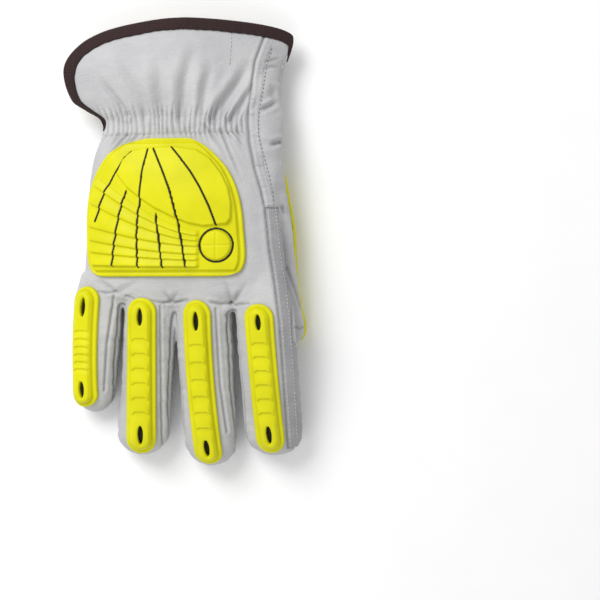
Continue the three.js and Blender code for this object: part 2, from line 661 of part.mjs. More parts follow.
/** A guard and its backing. line(t) gives the angle and y of the guard's middle line from t = 0 to 1. */
function makeGuard(name, tube, line, length, width, scales) {
  const half = width / 2;
  const slot = SLOT_INSET + SLOT_LENGTH / 2;
  const locate = (across, along, lift) => {
    const { angle, y } = line(along / length);
    const at = tube.walk(angle, -across, y);
    return tube.point(at, y).addScaledVector(tube.normal(at, y), lift);
  };
  const outline = (along, inner) => {
    const r = half - inner;
    const into = clamp(Math.min(along, length - along) - inner, 0, r);
    return Math.sqrt(Math.max(r * r - (r - into) ** 2, 0.01));
  };
  const columns = [-1, -0.7, -0.48, 0.48, 0.7, 1];
  const lowColumns = [-1, -0.76, 0, 0.76, 1];
  const onGuard = (u, v) => u * outline(v, 0);
  const recess = (u, v) => {
    const inside = Math.abs(u) < 0.8 && Math.min(v, length - v) > BACKING_MARGIN - GAP;
    return GUARD_LIFT + (inside ? BACKING + 1.5 * GAP : 0);
  };
  const body = patch(
    guardRows(length, half, scales, slot),
    columns,
    (u, v, lift) => locate(onGuard(u, v), v, lift),
    recess,
    (u, v) => guardThickness(onGuard(u, v), v, length, half, scales, slot),
    lowColumns,
  );
  const slots = [SLOT_INSET, length - SLOT_INSET].map((middle) => {
    const rows = [-1, -0.5, 0.5, 1];
    const wide = (v) => (SLOT_WIDTH / 2) * Math.sqrt(Math.max(1 - v * v, 0.002));
    return patch(
      rows,
      [-1, 1],
      (u, v, lift) => locate(u * wide(v), middle + (v * SLOT_LENGTH) / 2, lift),
      () => -GAP,
      () => GUARD_THICK + 2,
    );
  });
  const backingRows = [0, 0.25, 0.8, 1.6].map((e) => BACKING_MARGIN + GAP + e * half);
  const between = [0.3, 0.4, 0.5, 0.6, 0.7].map((share) => share * length);
  const backing = patch(
    [...backingRows, ...between, ...backingRows.map((v) => length - v).reverse()],
    [-1, 0, 1],
    (u, v, lift) => locate(u * Math.max(outline(v, BACKING_MARGIN + GAP), 0.3), v, lift),
    () => GUARD_LIFT,
    () => GUARD_LIFT + BACKING,
  );
  return [
    { name: `guard_${name}`, solid: largest(body.subtract(unite(slots))), material: "guard" },
    { name: `backing_${name}`, solid: backing, material: "backing" },
  ];
}

/** A finger's guard, its middle line a curve through three places in plan. */
function fingerGuard(guard) {
  const { tube } = fingerTubes.find(({ finger }) => finger.name === guard.on);
  const [from, mid, to] = [guard.from, guard.mid, guard.to].map((p) => new THREE.Vector3(...place(p), 0));
  const middle = mid.clone().multiplyScalar(2).addScaledVector(from, -0.5).addScaledVector(to, -0.5);
  const curve = new THREE.QuadraticBezierCurve3(from, middle, to);
  const line = (t) => {
    const { x, y } = curve.getPoint(clamp(t, 0, 1));
    return { angle: tube.angleAt(x, y), y };
  };
  const ends = [0, 0.25, 0.5, 0.75, 1].map((t) => tube.point(line(t).angle, line(t).y));
  const length = ends.slice(1).reduce((sum, p, i) => sum + p.distanceTo(ends[i]), 0);
  return makeGuard(guard.on, tube, line, length, guard.width, guard.scales);
}

function thumbGuard() {
  const { from, to, width, scales } = THUMB_GUARD;
  const line = (t) => ({ angle: THUMB_TURN, y: lerp(from, to, t) * THUMB_LENGTH });
  const length = (from - to) * THUMB_LENGTH;
  return makeGuard("thumb", thumb, line, length, width, scales);
}

// The plate over the back of the hand: its left and right edges in plan along its length, from the wrist to the
// knuckles, as shares of PALM_WIDTH, and its top and bottom as shares of HAND_REACH.
const PLATE_FROM = 0.483;
const PLATE = tableOf(["along", "left", "right"], [
  [0, -0.14, 0.02],
  [0.02, -0.22, 0.06],
  [0.05, -0.29, 0.085],
  [0.12, -0.36, 0.145],
  [0.22, -0.405, 0.205],
  [0.35, -0.44, 0.248],
  [0.5, -0.458, 0.274],
  [0.7, -0.462, 0.288],
  [0.85, -0.46, 0.294],
  [0.92, -0.452, 0.286],
  [0.965, -0.436, 0.265],
  [0.99, -0.405, 0.22],
  [1, -0.36, 0.16],
]);
const PLATE_ROWS = [0, 0.03, 0.07, 0.16, 0.28, 0.42, 0.58, 0.73, 0.86, 0.93, 0.97, 1];
const PLATE_COLUMNS = [0, 0.03, 0.08, 0.2, 0.36, 0.52, 0.7, 0.92, 0.97, 1];
const PLATE_UNDER = [0, 0.045, 0.11, 0.2, 0.36, 0.52, 0.7, 0.82, 0.955, 1];
const PLATE_FLANGE = 4;

// The plate's slits, each a line through three places in plan, as shares of PALM_WIDTH and HAND_REACH.
const SLITS = [
  [[-0.242, 0.423], [-0.345, 0.31], [-0.395, 0.13]],
  [[-0.26, 0.247], [-0.298, 0.08], [-0.325, -0.08]],
  [[-0.162, 0.428], [-0.2, 0.2], [-0.203, -0.083]],
  [[-0.12, 0.148], [-0.105, 0.03], [-0.088, -0.083]],
  [[-0.135, 0.432], [-0.03, 0.18], [0.02, -0.08]],
  [[-0.052, 0.44], [0.075, 0.28], [0.162, 0.1]],
];
const BOSS = [0.162, 0.01];
const BRIDGE = 0.11; // the boss's ring is cut in four arcs; this share of each quarter is left standing

function plateParts() {
  const start = PLATE_FROM * HAND_REACH;
  const yOf = (along) => start - along * PLATE_LENGTH;
  const edges = (along) => {
    const y = yOf(along);
    const { left, right } = PLATE(along);
    return [hand.angleAt(left * PALM_WIDTH, y), hand.angleAt(right * PALM_WIDTH, y)];
  };
  const smooth = new Tube((y) => ({ ...hand.section(y), fold: null }));
  const locate = (across, along, lift) => {
    const [left, right] = edges(along);
    const angle = lerp(left, right, across);
    const y = yOf(along);
    return smooth.point(angle, y).addScaledVector(smooth.normal(angle, y), lift);
  };
  const margin = (across, along) => {
    const { left, right } = PLATE(along);
    const wide = (right - left) * PALM_WIDTH;
    return Math.min(across * wide, (1 - across) * wide, along * PLATE_LENGTH, (1 - along) * PLATE_LENGTH);
  };
  const thickness = (across, along) => {
    const raised = smoothstep(margin(across, along), PLATE_FLANGE - 1.5, PLATE_FLANGE + 1.5);
    return PLATE_LIFT + lerp(FLANGE_THICK, PLATE_THICK, raised);
  };
  const recess = (across, along) => PLATE_LIFT + (margin(across, along) > BACKING_MARGIN ? BACKING + GAP : 0);
  const body = patch(PLATE_ROWS, PLATE_COLUMNS, locate, recess, thickness, PLATE_UNDER);

  const floor = HAND_DEPTH * 0.5;
  const upright = (outline) => {
    const plan = new THREE.Shape(outline.map(([x, y]) => new THREE.Vector2(x, y)));
    const depth = 2 * HAND_DEPTH;
    return solidOf(new THREE.ExtrudeGeometry(plan, { depth, bevelEnabled: false }).translate(0, 0, floor));
  };
  const ribbon = (points, width) => {
    const sides = points.map((p, i) => {
      const ahead = points[Math.min(i + 1, points.length - 1)];
      const behind = points[Math.max(i - 1, 0)];
      const across = new THREE.Vector2(behind.y - ahead.y, ahead.x - behind.x).setLength(width / 2);
      return [[p.x + across.x, p.y + across.y], [p.x - across.x, p.y - across.y]];
    });
    return upright([...sides.map((s) => s[0]), ...sides.map((s) => s[1]).reverse()]);
  };
  const slits = SLITS.map((slit) => {
    const curve = new THREE.SplineCurve(slit.map((p) => new THREE.Vector2(...place(p))));
    return ribbon(curve.getPoints(3), SLIT_WIDTH);
  });
  const [bx, by] = place(BOSS);
  const arcs = [0, 1, 2, 3].map((quarter) => {
    const from = 90 * quarter + 90 * (BRIDGE / 2);
    const turn = 90 * (1 - BRIDGE);
    const points = Array.from({ length: 4 }, (_, i) => {
      const angle = rad(from + (turn * i) / 3);
      return new THREE.Vector2(bx + BOSS_RADIUS * Math.cos(angle), by + BOSS_RADIUS * Math.sin(angle));
    });
    return ribbon(points, SLIT_WIDTH);
  });
  const backing = patch(
    [0.08, ...PLATE_ROWS.slice(3, -3), 0.92],
    [0.055, ...PLATE_UNDER.slice(2, -2), 0.945],
    locate,
    () => PLATE_LIFT,
    () => PLATE_LIFT + BACKING,
  );
  return [
    { name: "back_guard", solid: largest(body.subtract(unite([...slits, ...arcs]))), material: "guard" },
    { name: "backing_back", solid: backing, material: "backing" },
  ];
}

// The materials and the assembly.
const MATERIALS = {
  leather: new THREE.MeshStandardMaterial({ color: 0xc9c9cc, roughness: 0.62, metalness: 0 }),
  strip: new THREE.MeshStandardMaterial({ color: 0xa9a8aa, roughness: 0.7, metalness: 0 }),
  guard: new THREE.MeshStandardMaterial({ color: 0xe6ee1e, roughness: 0.45, metalness: 0 }),
  backing: new THREE.MeshStandardMaterial({ color: 0x1c1e1c, roughness: 0.8, metalness: 0 }),
  binding: new THREE.MeshStandardMaterial({ color: 0x351f1c, roughness: 0.85, metalness: 0 }),
  lining: new THREE.MeshStandardMaterial({ color: 0xd9cd8c, roughness: 0.9, metalness: 0 }),
};

const pieces = [
  { name: "back_panel", solid: backPanel, material: "leather" },
  { name: "palm_panel", solid: palmPanel, material: "leather" },
  { name: "thumb_panel", solid: thumbPanel, material: "leather" },
  { name: "index_strip", solid: strip, material: "strip" },
  ...fourchettes.map((f) => ({ ...f, material: "leather" })),
  { name: "lining", solid: liningSolid(), material: "lining" },
  { name: "cuff_binding", solid: bindingSolid(), material: "binding" },
  ...plateParts(),
  ...GUARDS.flatMap(fingerGuard),
  ...thumbGuard(),
];

const glove = new THREE.Group();
pieces.forEach(({ name, solid, material }) => {
  const mesh = new THREE.Mesh(geometryOf(solid), MATERIALS[material]);
  mesh.name = name;
  glove.add(mesh);
});

export default glove;
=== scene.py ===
"""The impact glove's looks: leather panels, moulded guards, bound hem and knitted lining, on a pale floor.

Sizes are in millimetres and shares of them, as in the part, and turn into metres when a mesh is made.
"""

import bmesh
import bpy
import numpy as np
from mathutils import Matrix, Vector
from mathutils.bvhtree import BVHTree
from mathutils.kdtree import KDTree


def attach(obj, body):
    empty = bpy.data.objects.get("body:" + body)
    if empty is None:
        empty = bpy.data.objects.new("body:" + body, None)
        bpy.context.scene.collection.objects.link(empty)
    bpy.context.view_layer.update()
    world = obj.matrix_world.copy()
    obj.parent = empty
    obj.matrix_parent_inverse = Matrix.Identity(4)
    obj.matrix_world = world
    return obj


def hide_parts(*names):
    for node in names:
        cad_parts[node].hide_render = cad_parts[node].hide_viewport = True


MM = 0.001
HAND_REACH = 128.0
PALM_WIDTH = 118.0
HAND_DEPTH = 28.0
LEATHER = 1.2
STACK = 1.6
LINING = 1.0
TAPE = 0.9
TAPE_WIDTH = 6.0
GAP = 0.3
GUARD_LIFT = 0.5
PLATE_LIFT = 0.7
THUMB_LENGTH = 56.0
THUMB_DEPTH = 17.0
TIP_ROUND = 13.0
VOXEL = 1.05
PICTURE_COLUMN, PICTURE_ROW, PICTURE_STEP = 185, 250, 0.563

# Tables: the first column is a share of the length that the row lies at.
LIE_ROWS = [  # reach, height, slope
    [-0.98, 0.33, 0.01], [-0.8, 0.44, 0.04], [-0.5, 0.62, 0.15], [-0.2, 0.75, 0.2], [0.08, 0.76, 0.18],
    [0.25, 0.74, 0.13], [0.4, 0.68, 0.07], [0.52, 0.62, 0.03], [0.6, 0.6, 0], [0.8, 0.6, -0.03],
    [1.02, 0.57, -0.05],
]
HAND_ROWS = [  # reach, left, right, top, under_left, under_right, edge
    [-0.23, -0.505, 0.485, 0.36, 0.82, 0.28, 2.2], [-0.09, -0.494, 0.488, 0.43, 0.89, 0.28, 2.2],
    [0.086, -0.48, 0.466, 0.5, 0.9, 0.32, 2.2], [0.227, -0.469, 0.448, 0.52, 0.86, 0.4, 2.2],
    [0.375, -0.444, 0.462, 0.5, 0.74, 0.62, 2.2], [0.508, -0.396, 0.468, 0.45, 0.66, 0.66, 2.1],
    [0.57, -0.391, 0.47, 0.43, 0.62, 0.62, 2], [0.61, -0.46, 0.468, 0.47, 0.6, 0.6, 1.9],
    [0.656, -0.54, 0.463, 0.52, 0.6, 0.58, 1.8], [0.766, -0.62, 0.465, 0.58, 0.6, 0.52, 1.7],
    [0.836, -0.635, 0.483, 0.58, 0.58, 0.45, 1.6], [0.92, -0.6, 0.508, 0.55, 0.55, 0.4, 1.55],
    [1.02, -0.5, 0.51, 0.5, 0.5, 0.4, 1.5],
]
HEM_ROWS = [  # angle, reach
    [-25, 0.89], [0, 0.935], [20, 0.962], [45, 0.985], [75, 1], [103, 0.998], [119, 0.98], [134, 0.948],
    [143, 0.908], [148, 0.868], [153, 0.82], [158, 0.765], [163, 0.712], [168, 0.668], [173, 0.642],
    [180, 0.628], [195, 0.612], [212, 0.597], [230, 0.588], [246, 0.59], [262, 0.62], [275, 0.67],
    [290, 0.73], [312, 0.81], [335, 0.89], [360, 0.935], [380, 0.962],
]
THUMB_ROWS = [  # reach, left, right, height, depth, roll
    [-1, 0.4, 0.565, 0.64, 0.84, 22], [-0.8, 0.372, 0.578, 0.68, 0.95, 24], [-0.55, 0.322, 0.562, 0.72, 1, 25],
    [-0.3, 0.282, 0.548, 0.76, 1, 26], [0, 0.235, 0.536, 0.78, 1, 27], [0.25, 0.2, 0.528, 0.82, 1.05, 28],
    [0.55, 0.16, 0.504, 0.84, 1.1, 28], [0.85, 0.14, 0.478, 0.84, 1.1, 26], [1.1, 0.15, 0.44, 0.84, 1, 20],
]
FINGERS = {  # base, mid, end (shares of PALM_WIDTH), tip (a share of HAND_REACH), width, depth, roll, taper
    "pinky": (-0.42, -0.432, -0.44, -0.715, 28, 20, 20, 0.2),
    "ring": (-0.153, -0.179, -0.21, -0.905, 29.4, 21, 7, 0.02),
    "middle": (0.087, 0.099, 0.125, -0.953, 31.2, 21.5, 5, 0.07),
    "index": (0.371, 0.397, 0.431, -0.908, 32.5, 21, 7, 0.02),
}
GUARDS = {  # three places of the middle line, then the width and the number of moulded scales
    "pinky": ([(-0.463, -0.161), (-0.482, -0.44), (-0.477, -0.687)], 15.5, 6),
    "ring": ([(-0.2, -0.211), (-0.205, -0.55), (-0.208, -0.888)], 16.5, 6),
    "middle": ([(0.062, -0.22), (0.08, -0.6), (0.119, -0.934)], 15.5, 6),
    "index": ([(0.353, -0.237), (0.378, -0.55), (0.415, -0.885)], 16.0, 6),
}
THUMB_GUARD = (0.84, -0.93, 17.5, 14)
THUMB_TURN, THUMB_TWIST = 298.0, 20.0
KNUCKLES = -0.235
WRIST = 0.36
FINGER_BASE = -0.1
THUMB_BASE = 1.1
BACK_SEAM = [(0.42, 1.1), (0.374, 0.92), (0.337, 0.827), (0.322, 0.73), (0.306, 0.62), (0.303, 0.56),
             (0.312, 0.46), (0.337, 0.35), (0.367, 0.255), (0.385, 0.18)]
STRIP_LEFT = [(0.385, 0.18), (0.405, 0), (0.432, -0.16), (0.452, -0.32), (0.47, -0.56), (0.492, -0.9)]
PALM_SEAM = [(0.24, 1.1), (0.24, 0.9), (0.215, 0.6), (0.195, 0.3), (0.198, 0.085)]
STRIP_RIGHT = [(0.456, 0.19), (0.469, 0.07), (0.51, -0.163), (0.512, -0.307), (0.515, -0.4), (0.62, -0.5),
               (0.64, -0.9)]
STRIP_TOP = 0.18
SIDE_SEAM = -1.5
FOURCHETTE = 4.2
PLATE_FROM, PLATE_LENGTH = 0.483, 77.0
PLATE_ROWS = [  # along, left, right
    [0, -0.14, 0.0], [0.01, -0.185, 0.035], [0.02, -0.22, 0.055], [0.05, -0.29, 0.092], [0.08, -0.325, 0.118],
    [0.12, -0.36, 0.148], [0.22, -0.405, 0.205],
    [0.35, -0.44, 0.248], [0.5, -0.458, 0.274], [0.7, -0.462, 0.288], [0.85, -0.46, 0.294],
    [0.92, -0.452, 0.286], [0.965, -0.436, 0.265], [0.99, -0.405, 0.22], [1, -0.36, 0.16],
]


def smooth(value, low, high):
    t = np.clip((value - low) / (high - low), 0, 1)
    return t * t * (3 - 2 * t)


def table(rows):
    """A smooth curve through a table's rows: the columns' values at a key."""
    rows = np.array(rows, float)
    keys, values = rows[:, 0], rows[:, 1:]
    slopes = np.array([
        (values[min(i + 1, len(keys) - 1)] - values[max(i - 1, 0)])
        / (keys[min(i + 1, len(keys) - 1)] - keys[max(i - 1, 0)])
        for i in range(len(keys))
    ])

    def at(key):
        k = np.clip(np.asarray(key, float), keys[0], keys[-1])
        i = np.clip(np.searchsorted(keys, k, side="right") - 1, 0, len(keys) - 2)
        span = keys[i + 1] - keys[i]
        t = ((k - keys[i]) / span)[..., None]
        m0, m1 = slopes[i] * span[..., None], slopes[i + 1] * span[..., None]
        found = ((2 * t**3 - 3 * t**2 + 1) * values[i] + (t**3 - 2 * t**2 + t) * m0
                 + (3 * t**2 - 2 * t**3) * values[i + 1] + (t**3 - t**2) * m1)
        return np.moveaxis(found, -1, 0)

    return at


LIE, HAND, HEM, THUMB, PLATE = (table(r) for r in (LIE_ROWS, HAND_ROWS, HEM_ROWS, THUMB_ROWS, PLATE_ROWS))


def middle_height(x, y):
    height, slope = LIE(np.asarray(y) / HAND_REACH)
    return height * HAND_DEPTH + slope * x


def hem_at(degrees):
    return HEM(np.mod(np.asarray(degrees, float), 360))[0] * HAND_REACH


def shape(value, power):
    return np.sign(value) * np.abs(value) ** power


class Tube:
    """A soft tube of the glove: section(y, inset) gives its centre, half width, depths and roll."""

    def __init__(self, section, floor=None):
        self.section = section
        self.floor = floor

    def point(self, degrees, y, inset=0.0):
        degrees, y, inset = np.broadcast_arrays(*(np.asarray(v, float) for v in (degrees, y, inset)))
        s = self.section(y, inset)
        c, h = np.cos(np.radians(degrees)), np.sin(np.radians(degrees))
        power = 2 / np.where(c > 0, s["edge"], s["round"])
        lean = smooth(c, 0.18, 0.85)
        depth = np.where(h > 0, s["top"], s["under_left"] * (1 - lean) + s["under_right"] * lean)
        u = (s["half"] - inset) * shape(c, power) * s["scale"]
        w = (depth - inset) * shape(h, power) * s["scale"]
        cr, sr = np.cos(s["roll"]), np.sin(s["roll"])
        floor = self.floor(degrees, y) if self.floor else 0.0
        z = np.maximum(s["z"] + u * sr + w * cr, floor + inset)
        return np.stack([s["x"] + u * cr - w * sr, y + 0 * z, z], -1)

    def normal(self, degrees, y):
        around = self.point(np.asarray(degrees) + 1.5, y) - self.point(np.asarray(degrees) - 1.5, y)
        along = self.point(degrees, np.asarray(y) + 0.5) - self.point(degrees, np.asarray(y) - 0.5)
        n = np.cross(along, around)
        return n / np.maximum(np.linalg.norm(n, axis=-1, keepdims=True), 1e-9)

    def angle_at(self, x, y):
        low, high = np.zeros(np.broadcast(x, y).shape), np.full(np.broadcast(x, y).shape, 180.0)
        for _ in range(26):
            mid = (low + high) / 2
            right = self.point(mid, y)[..., 0] > x
            low, high = np.where(right, mid, low), np.where(right, high, mid)
        return (low + high) / 2

    def local(self, p):
        """How far out a point is: 1 on the skin, less inside; and the local sideways and upward shares."""
        s = self.section(p[:, 1], 0.0)
        dx, dz = p[:, 0] - s["x"], p[:, 2] - s["z"]
        cr, sr = np.cos(s["roll"]), np.sin(s["roll"])
        u = (dx * cr + dz * sr) / np.maximum(s["half"] * s["scale"], 0.5)
        w = -dx * sr + dz * cr
        lean = smooth(u, 0.18, 0.85)
        depth = np.where(w > 0, s["top"], s["under_left"] * (1 - lean) + s["under_right"] * lean)
        w = w / np.maximum(depth * s["scale"], 0.5)
        power = np.where(u > 0, s["edge"], s["round"])
        return (np.abs(u) ** power + np.abs(w) ** power) ** (1 / power), u, w, power


def dome(y, tip, inset):
    into = np.clip((tip + TIP_ROUND - y) / (TIP_ROUND - inset), 0, 0.995)
    return np.sqrt(1 - into**2)


def hand_floor(degrees, y):
    return (GAP + TAPE) * (1 - smooth(hem_at(degrees) - y, 3 * TAPE_WIDTH, 5 * TAPE_WIDTH))


def hand_section(y, inset):
    left, right, top, under_left, under_right, edge = HAND(y / HAND_REACH)
    x = (left + right) / 2 * PALM_WIDTH
    rounding = np.clip((KNUCKLES + 0.05 - y / HAND_REACH) / 0.06, 0, 0.9)
    return {
        "x": x, "z": middle_height(x, y), "half": (right - left) / 2 * PALM_WIDTH, "top": top * HAND_DEPTH,
        "under_left": under_left * HAND_DEPTH, "under_right": under_right * HAND_DEPTH,
        "roll": np.arctan(LIE(y / HAND_REACH)[1]), "scale": np.sqrt(1 - rounding**2), "edge": edge,
        "round": 2.2 - 0.7 * smooth(y / HAND_REACH, 0.5, 0.72),
    }


def finger_section(base, mid, end, tip, width, depth, roll, narrowing):
    def section(y, inset):
        t = np.clip((FINGER_BASE * HAND_REACH - y) / ((FINGER_BASE - tip) * HAND_REACH), 0, 1)
        x = ((1 - t) ** 2 * base + 2 * t * (1 - t) * mid + t**2 * end) * PALM_WIDTH
        taper = 1 - narrowing * smooth(t, 0.35, 1)
        bulge = 0.74 + 0.26 * smooth(t, 0, 0.22)
        under = (0.46 + 0.16 * t) * depth
        return {
            "x": x, "z": middle_height(x, y), "roll": np.radians(roll) * (1 - 0.5 * t),
            "half": width / 2 * taper * bulge, "top": depth / 2 * taper * bulge,
            "under_left": under, "under_right": under,
            "edge": 2.15 + 0 * y, "round": 2.15 + 0 * y, "scale": dome(y, tip * HAND_REACH, inset),
        }
    return section


def thumb_section(y, inset):
    left, right, height, depth, roll = THUMB(y / THUMB_LENGTH)
    half_depth = depth * THUMB_DEPTH / 2
    return {
        "x": (left + right) / 2 * PALM_WIDTH, "z": height * THUMB_DEPTH,
        "half": (right - left) / 2 * PALM_WIDTH, "roll": np.radians(roll),
        "top": half_depth, "under_left": half_depth, "under_right": half_depth,
        "edge": 2.1 + 0 * y, "round": 2.1 + 0 * y, "scale": dome(y, -THUMB_LENGTH, inset),
    }


hand = Tube(hand_section, hand_floor)
fingers = {name: Tube(finger_section(*values)) for name, values in FINGERS.items()}
thumb = Tube(thumb_section)

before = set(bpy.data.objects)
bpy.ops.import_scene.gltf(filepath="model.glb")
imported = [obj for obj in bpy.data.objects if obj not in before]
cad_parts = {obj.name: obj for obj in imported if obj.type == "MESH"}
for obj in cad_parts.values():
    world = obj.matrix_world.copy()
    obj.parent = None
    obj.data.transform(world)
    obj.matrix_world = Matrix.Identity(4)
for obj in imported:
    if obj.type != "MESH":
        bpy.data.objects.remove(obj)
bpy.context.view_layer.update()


# Meshes.
def new_object(name, verts, faces, material=None, smooth_shading=True):
    mesh = bpy.data.meshes.new(name)
    mesh.from_pydata((np.asarray(verts) * MM).tolist(), [], [list(map(int, f)) for f in faces])
    mesh.update()
    if smooth_shading:
        mesh.polygons.foreach_set("use_smooth", [True] * len(mesh.polygons))
    obj = bpy.data.objects.new(name, mesh)
    bpy.context.scene.collection.objects.link(obj)
    if material:
        mesh.materials.append(material)
    return obj


def grid_faces(rows, columns, offset=0, wrap=False):
    last = columns if wrap else columns - 1
    i, j = np.meshgrid(np.arange(last), np.arange(rows - 1))
    a = j * columns + i
    b = j * columns + (i + 1) % columns
    return (np.stack([a, b, b + columns, a + columns], -1).reshape(-1, 4) + offset).tolist()


def closed_tube(rings):
    """Verts and faces of a closed skin from rings of points (rows, columns, 3)."""
    rows, columns = rings.shape[:2]
    verts = rings.reshape(-1, 3)
    faces = grid_faces(rows, columns, 0, True)
    faces.append(list(range(columns))[::-1])
    faces.append(list(range((rows - 1) * columns, rows * columns)))
    return verts, faces


def digit_rings(tube, base, tip, columns):
    start = tip + TIP_ROUND
    turn = np.radians(np.linspace(0, 84, 18))
    y = np.concatenate([np.linspace(base, start, 60)[:-1], start - TIP_ROUND * np.sin(turn)])
    angles = np.arange(columns) * 360 / columns
    return tube.point(angles[None, :], y[:, None])


def hand_rings(columns, beyond):
    angles = np.arange(columns) * 360 / columns
    straight = np.linspace(KNUCKLES, WRIST, 70)[:-1] * HAND_REACH
    first = hand.point(angles[None, :], straight[:, None])
    t = np.linspace(0, 1, 90)[:, None]
    wrist = WRIST * HAND_REACH
    y = wrist + (hem_at(angles)[None, :] + beyond - wrist) * t
    return np.concatenate([first, hand.point(np.broadcast_to(angles, y.shape), y)])


KNOTS = [  # the bunched leather between the fingers: place, height over the middle, and half sizes
    ((168, 315), 1.8, (3.2, 8.0, 5.0)), ((172, 307), 3.0, (3.2, 3.2, 3.2)),
    ((226, 309), 3.2, (4.4, 3.2, 4.4)), ((121, 300), 0.0, (3.0, 4.0, 4.0)),
]


def lump(centre, size):
    """Rings of a rounded lump of leather."""
    up = np.radians(np.linspace(-84, 84, 15))[:, None]
    turn = np.radians(np.arange(24) * 15)[None, :]
    at = np.stack([np.cos(up) * np.cos(turn), np.sin(up) + 0 * turn, -np.cos(up) * np.sin(turn)], -1)
    return np.array(centre) + at[::-1] * np.array(size)


def glove_skin():
    """The whole glove's outer skin as one fine mesh: verts and quads."""
    verts, faces = [], []
    parts = [hand_rings(150, 14.0)]
    for name, tube in fingers.items():
        parts.append(digit_rings(tube, FINGER_BASE * HAND_REACH, FINGERS[name][3] * HAND_REACH, 60))
    parts.append(digit_rings(thumb, THUMB_BASE * THUMB_LENGTH, -THUMB_LENGTH, 60))
    for (px, py), height, size in KNOTS:
        cx, cy = photo(px, py)
        parts.append(lump((cx, cy, float(middle_height(cx, cy)) + height), size))
    count = 0
    for rings in parts:
        v, f = closed_tube(rings)
        verts.append(v)
        faces += [[k + count for k in face] for face in f]
        count += len(v)
    raw = new_object("raw", np.concatenate(verts), faces)
    remesh = raw.modifiers.new("remesh", "REMESH")
    remesh.mode = "VOXEL"
    remesh.voxel_size = VOXEL * MM
    found = raw.evaluated_get(bpy.context.evaluated_depsgraph_get()).to_mesh()
    co = np.zeros(len(found.vertices) * 3)
    found.vertices.foreach_get("co", co)
    index = np.zeros(len(found.loops), int)
    found.loops.foreach_get("vertex_index", index)
    quads = np.array([index[f.loop_start:f.loop_start + 4] for f in found.polygons if f.loop_total == 4])
    bpy.data.objects.remove(raw)
    return co.reshape(-1, 3) / MM, quads


def smooth_mesh(verts, quads, weight, rounds):
    """Moves each vertex towards the mean of its neighbours, as much as its weight says."""
    edges = np.concatenate([quads[:, [0, 1]], quads[:, [1, 2]], quads[:, [2, 3]], quads[:, [3, 0]]])
    edges = np.unique(np.sort(edges, 1), axis=0)
    count = np.bincount(edges.ravel(), minlength=len(verts)).astype(float)[:, None]
    for _ in range(rounds):
        total = np.zeros_like(verts)
        for k in range(3):
            total[:, k] = (np.bincount(edges[:, 0], verts[edges[:, 1], k], len(verts))
                           + np.bincount(edges[:, 1], verts[edges[:, 0], k], len(verts)))
        verts = verts + (total / np.maximum(count, 1) - verts) * weight[:, None]
    return verts


def vertex_normals(verts, tris):
    n = np.cross(verts[tris[:, 1]] - verts[tris[:, 0]], verts[tris[:, 2]] - verts[tris[:, 0]])
    total = np.zeros_like(verts)
    for corner in range(3):
        for k in range(3):
            total[:, k] += np.bincount(tris[:, corner], n[:, k], len(verts))
    return total / np.maximum(np.linalg.norm(total, axis=1, keepdims=True), 1e-9)


def line_x(line, y):
    """The x of a seam, drawn as points from far to near, at y."""
    points = np.array(line)[::-1] * [PALM_WIDTH, HAND_REACH]
    return np.interp(y, points[:, 1], points[:, 0])


def line_place(p, points):
    """How far plan points are from a line through places, and the share of the line they are nearest to."""
    points = np.array(points, float)
    lengths = np.linalg.norm(np.diff(points, axis=0), axis=1)
    start = np.concatenate([[0], np.cumsum(lengths)])
    best, share = np.full(len(p), 1e9), np.zeros(len(p))
    for k, (a, b) in enumerate(zip(points[:-1], points[1:])):
        t = np.clip(((p[:, :2] - a) @ (b - a)) / lengths[k] ** 2, 0, 1)
        d = np.linalg.norm(p[:, :2] - (a + t[:, None] * (b - a)), axis=1)
        share = np.where(d < best, (start[k] + t * lengths[k]) / start[-1], share)
        best = np.minimum(best, d)
    return best, share


def line_distance(p, points):
    return line_place(p, points)[0]


def photo(x, y):
    """A place read in the picture's columns and rows, as millimetres in plan."""
    return ((x - PICTURE_COLUMN) * PICTURE_STEP, (PICTURE_ROW - y) * PICTURE_STEP)


def line_of(*places):
    """A line through places of the picture, in millimetres."""
    return [photo(*place) for place in places]


def plate_margin(x, y):
    """How far inside the back plate's outline a plan point is."""
    along = (PLATE_FROM * HAND_REACH - y) / PLATE_LENGTH
    left, right = PLATE(along)
    sides = np.minimum(x - left * PALM_WIDTH, right * PALM_WIDTH - x)
    ends = np.minimum(along, 1 - along) * PLATE_LENGTH
    return np.minimum(sides, ends)


def thumb_turn(t):
    """The angle round the thumb of its guard's middle line, which twists under the thumb towards the tip."""
    return THUMB_TURN - THUMB_TWIST * smooth(t, 0.3, 0.85)


def guard_curve(places, t):
    a, b, c = (np.array([x * PALM_WIDTH, y * HAND_REACH]) for x, y in places)
    middle = 2 * b - a / 2 - c / 2
    t = np.asarray(t)[..., None]
    return (1 - t) ** 2 * a + 2 * t * (1 - t) * middle + t**2 * c


def soft_noise(p, size, seed):
    """Smooth random values from -1 to 1 at points, with a lump size for each direction, in millimetres."""
    values = np.random.default_rng(seed).uniform(-1, 1, 4096)
    q = p / np.asarray(size, float) + 100.0
    cell = np.floor(q).astype(int)
    f = q - cell
    f = f * f * (3 - 2 * f)
    total = np.zeros(len(p))
    for corner in range(8):
        step = np.array([corner & 1, corner >> 1 & 1, corner >> 2 & 1])
        at = cell + step
        key = (at[:, 0] * 73856093 ^ at[:, 1] * 19349663 ^ at[:, 2] * 83492791) & 4095
        total += values[key] * np.prod(np.where(step, f, 1 - f), axis=1)
    return total


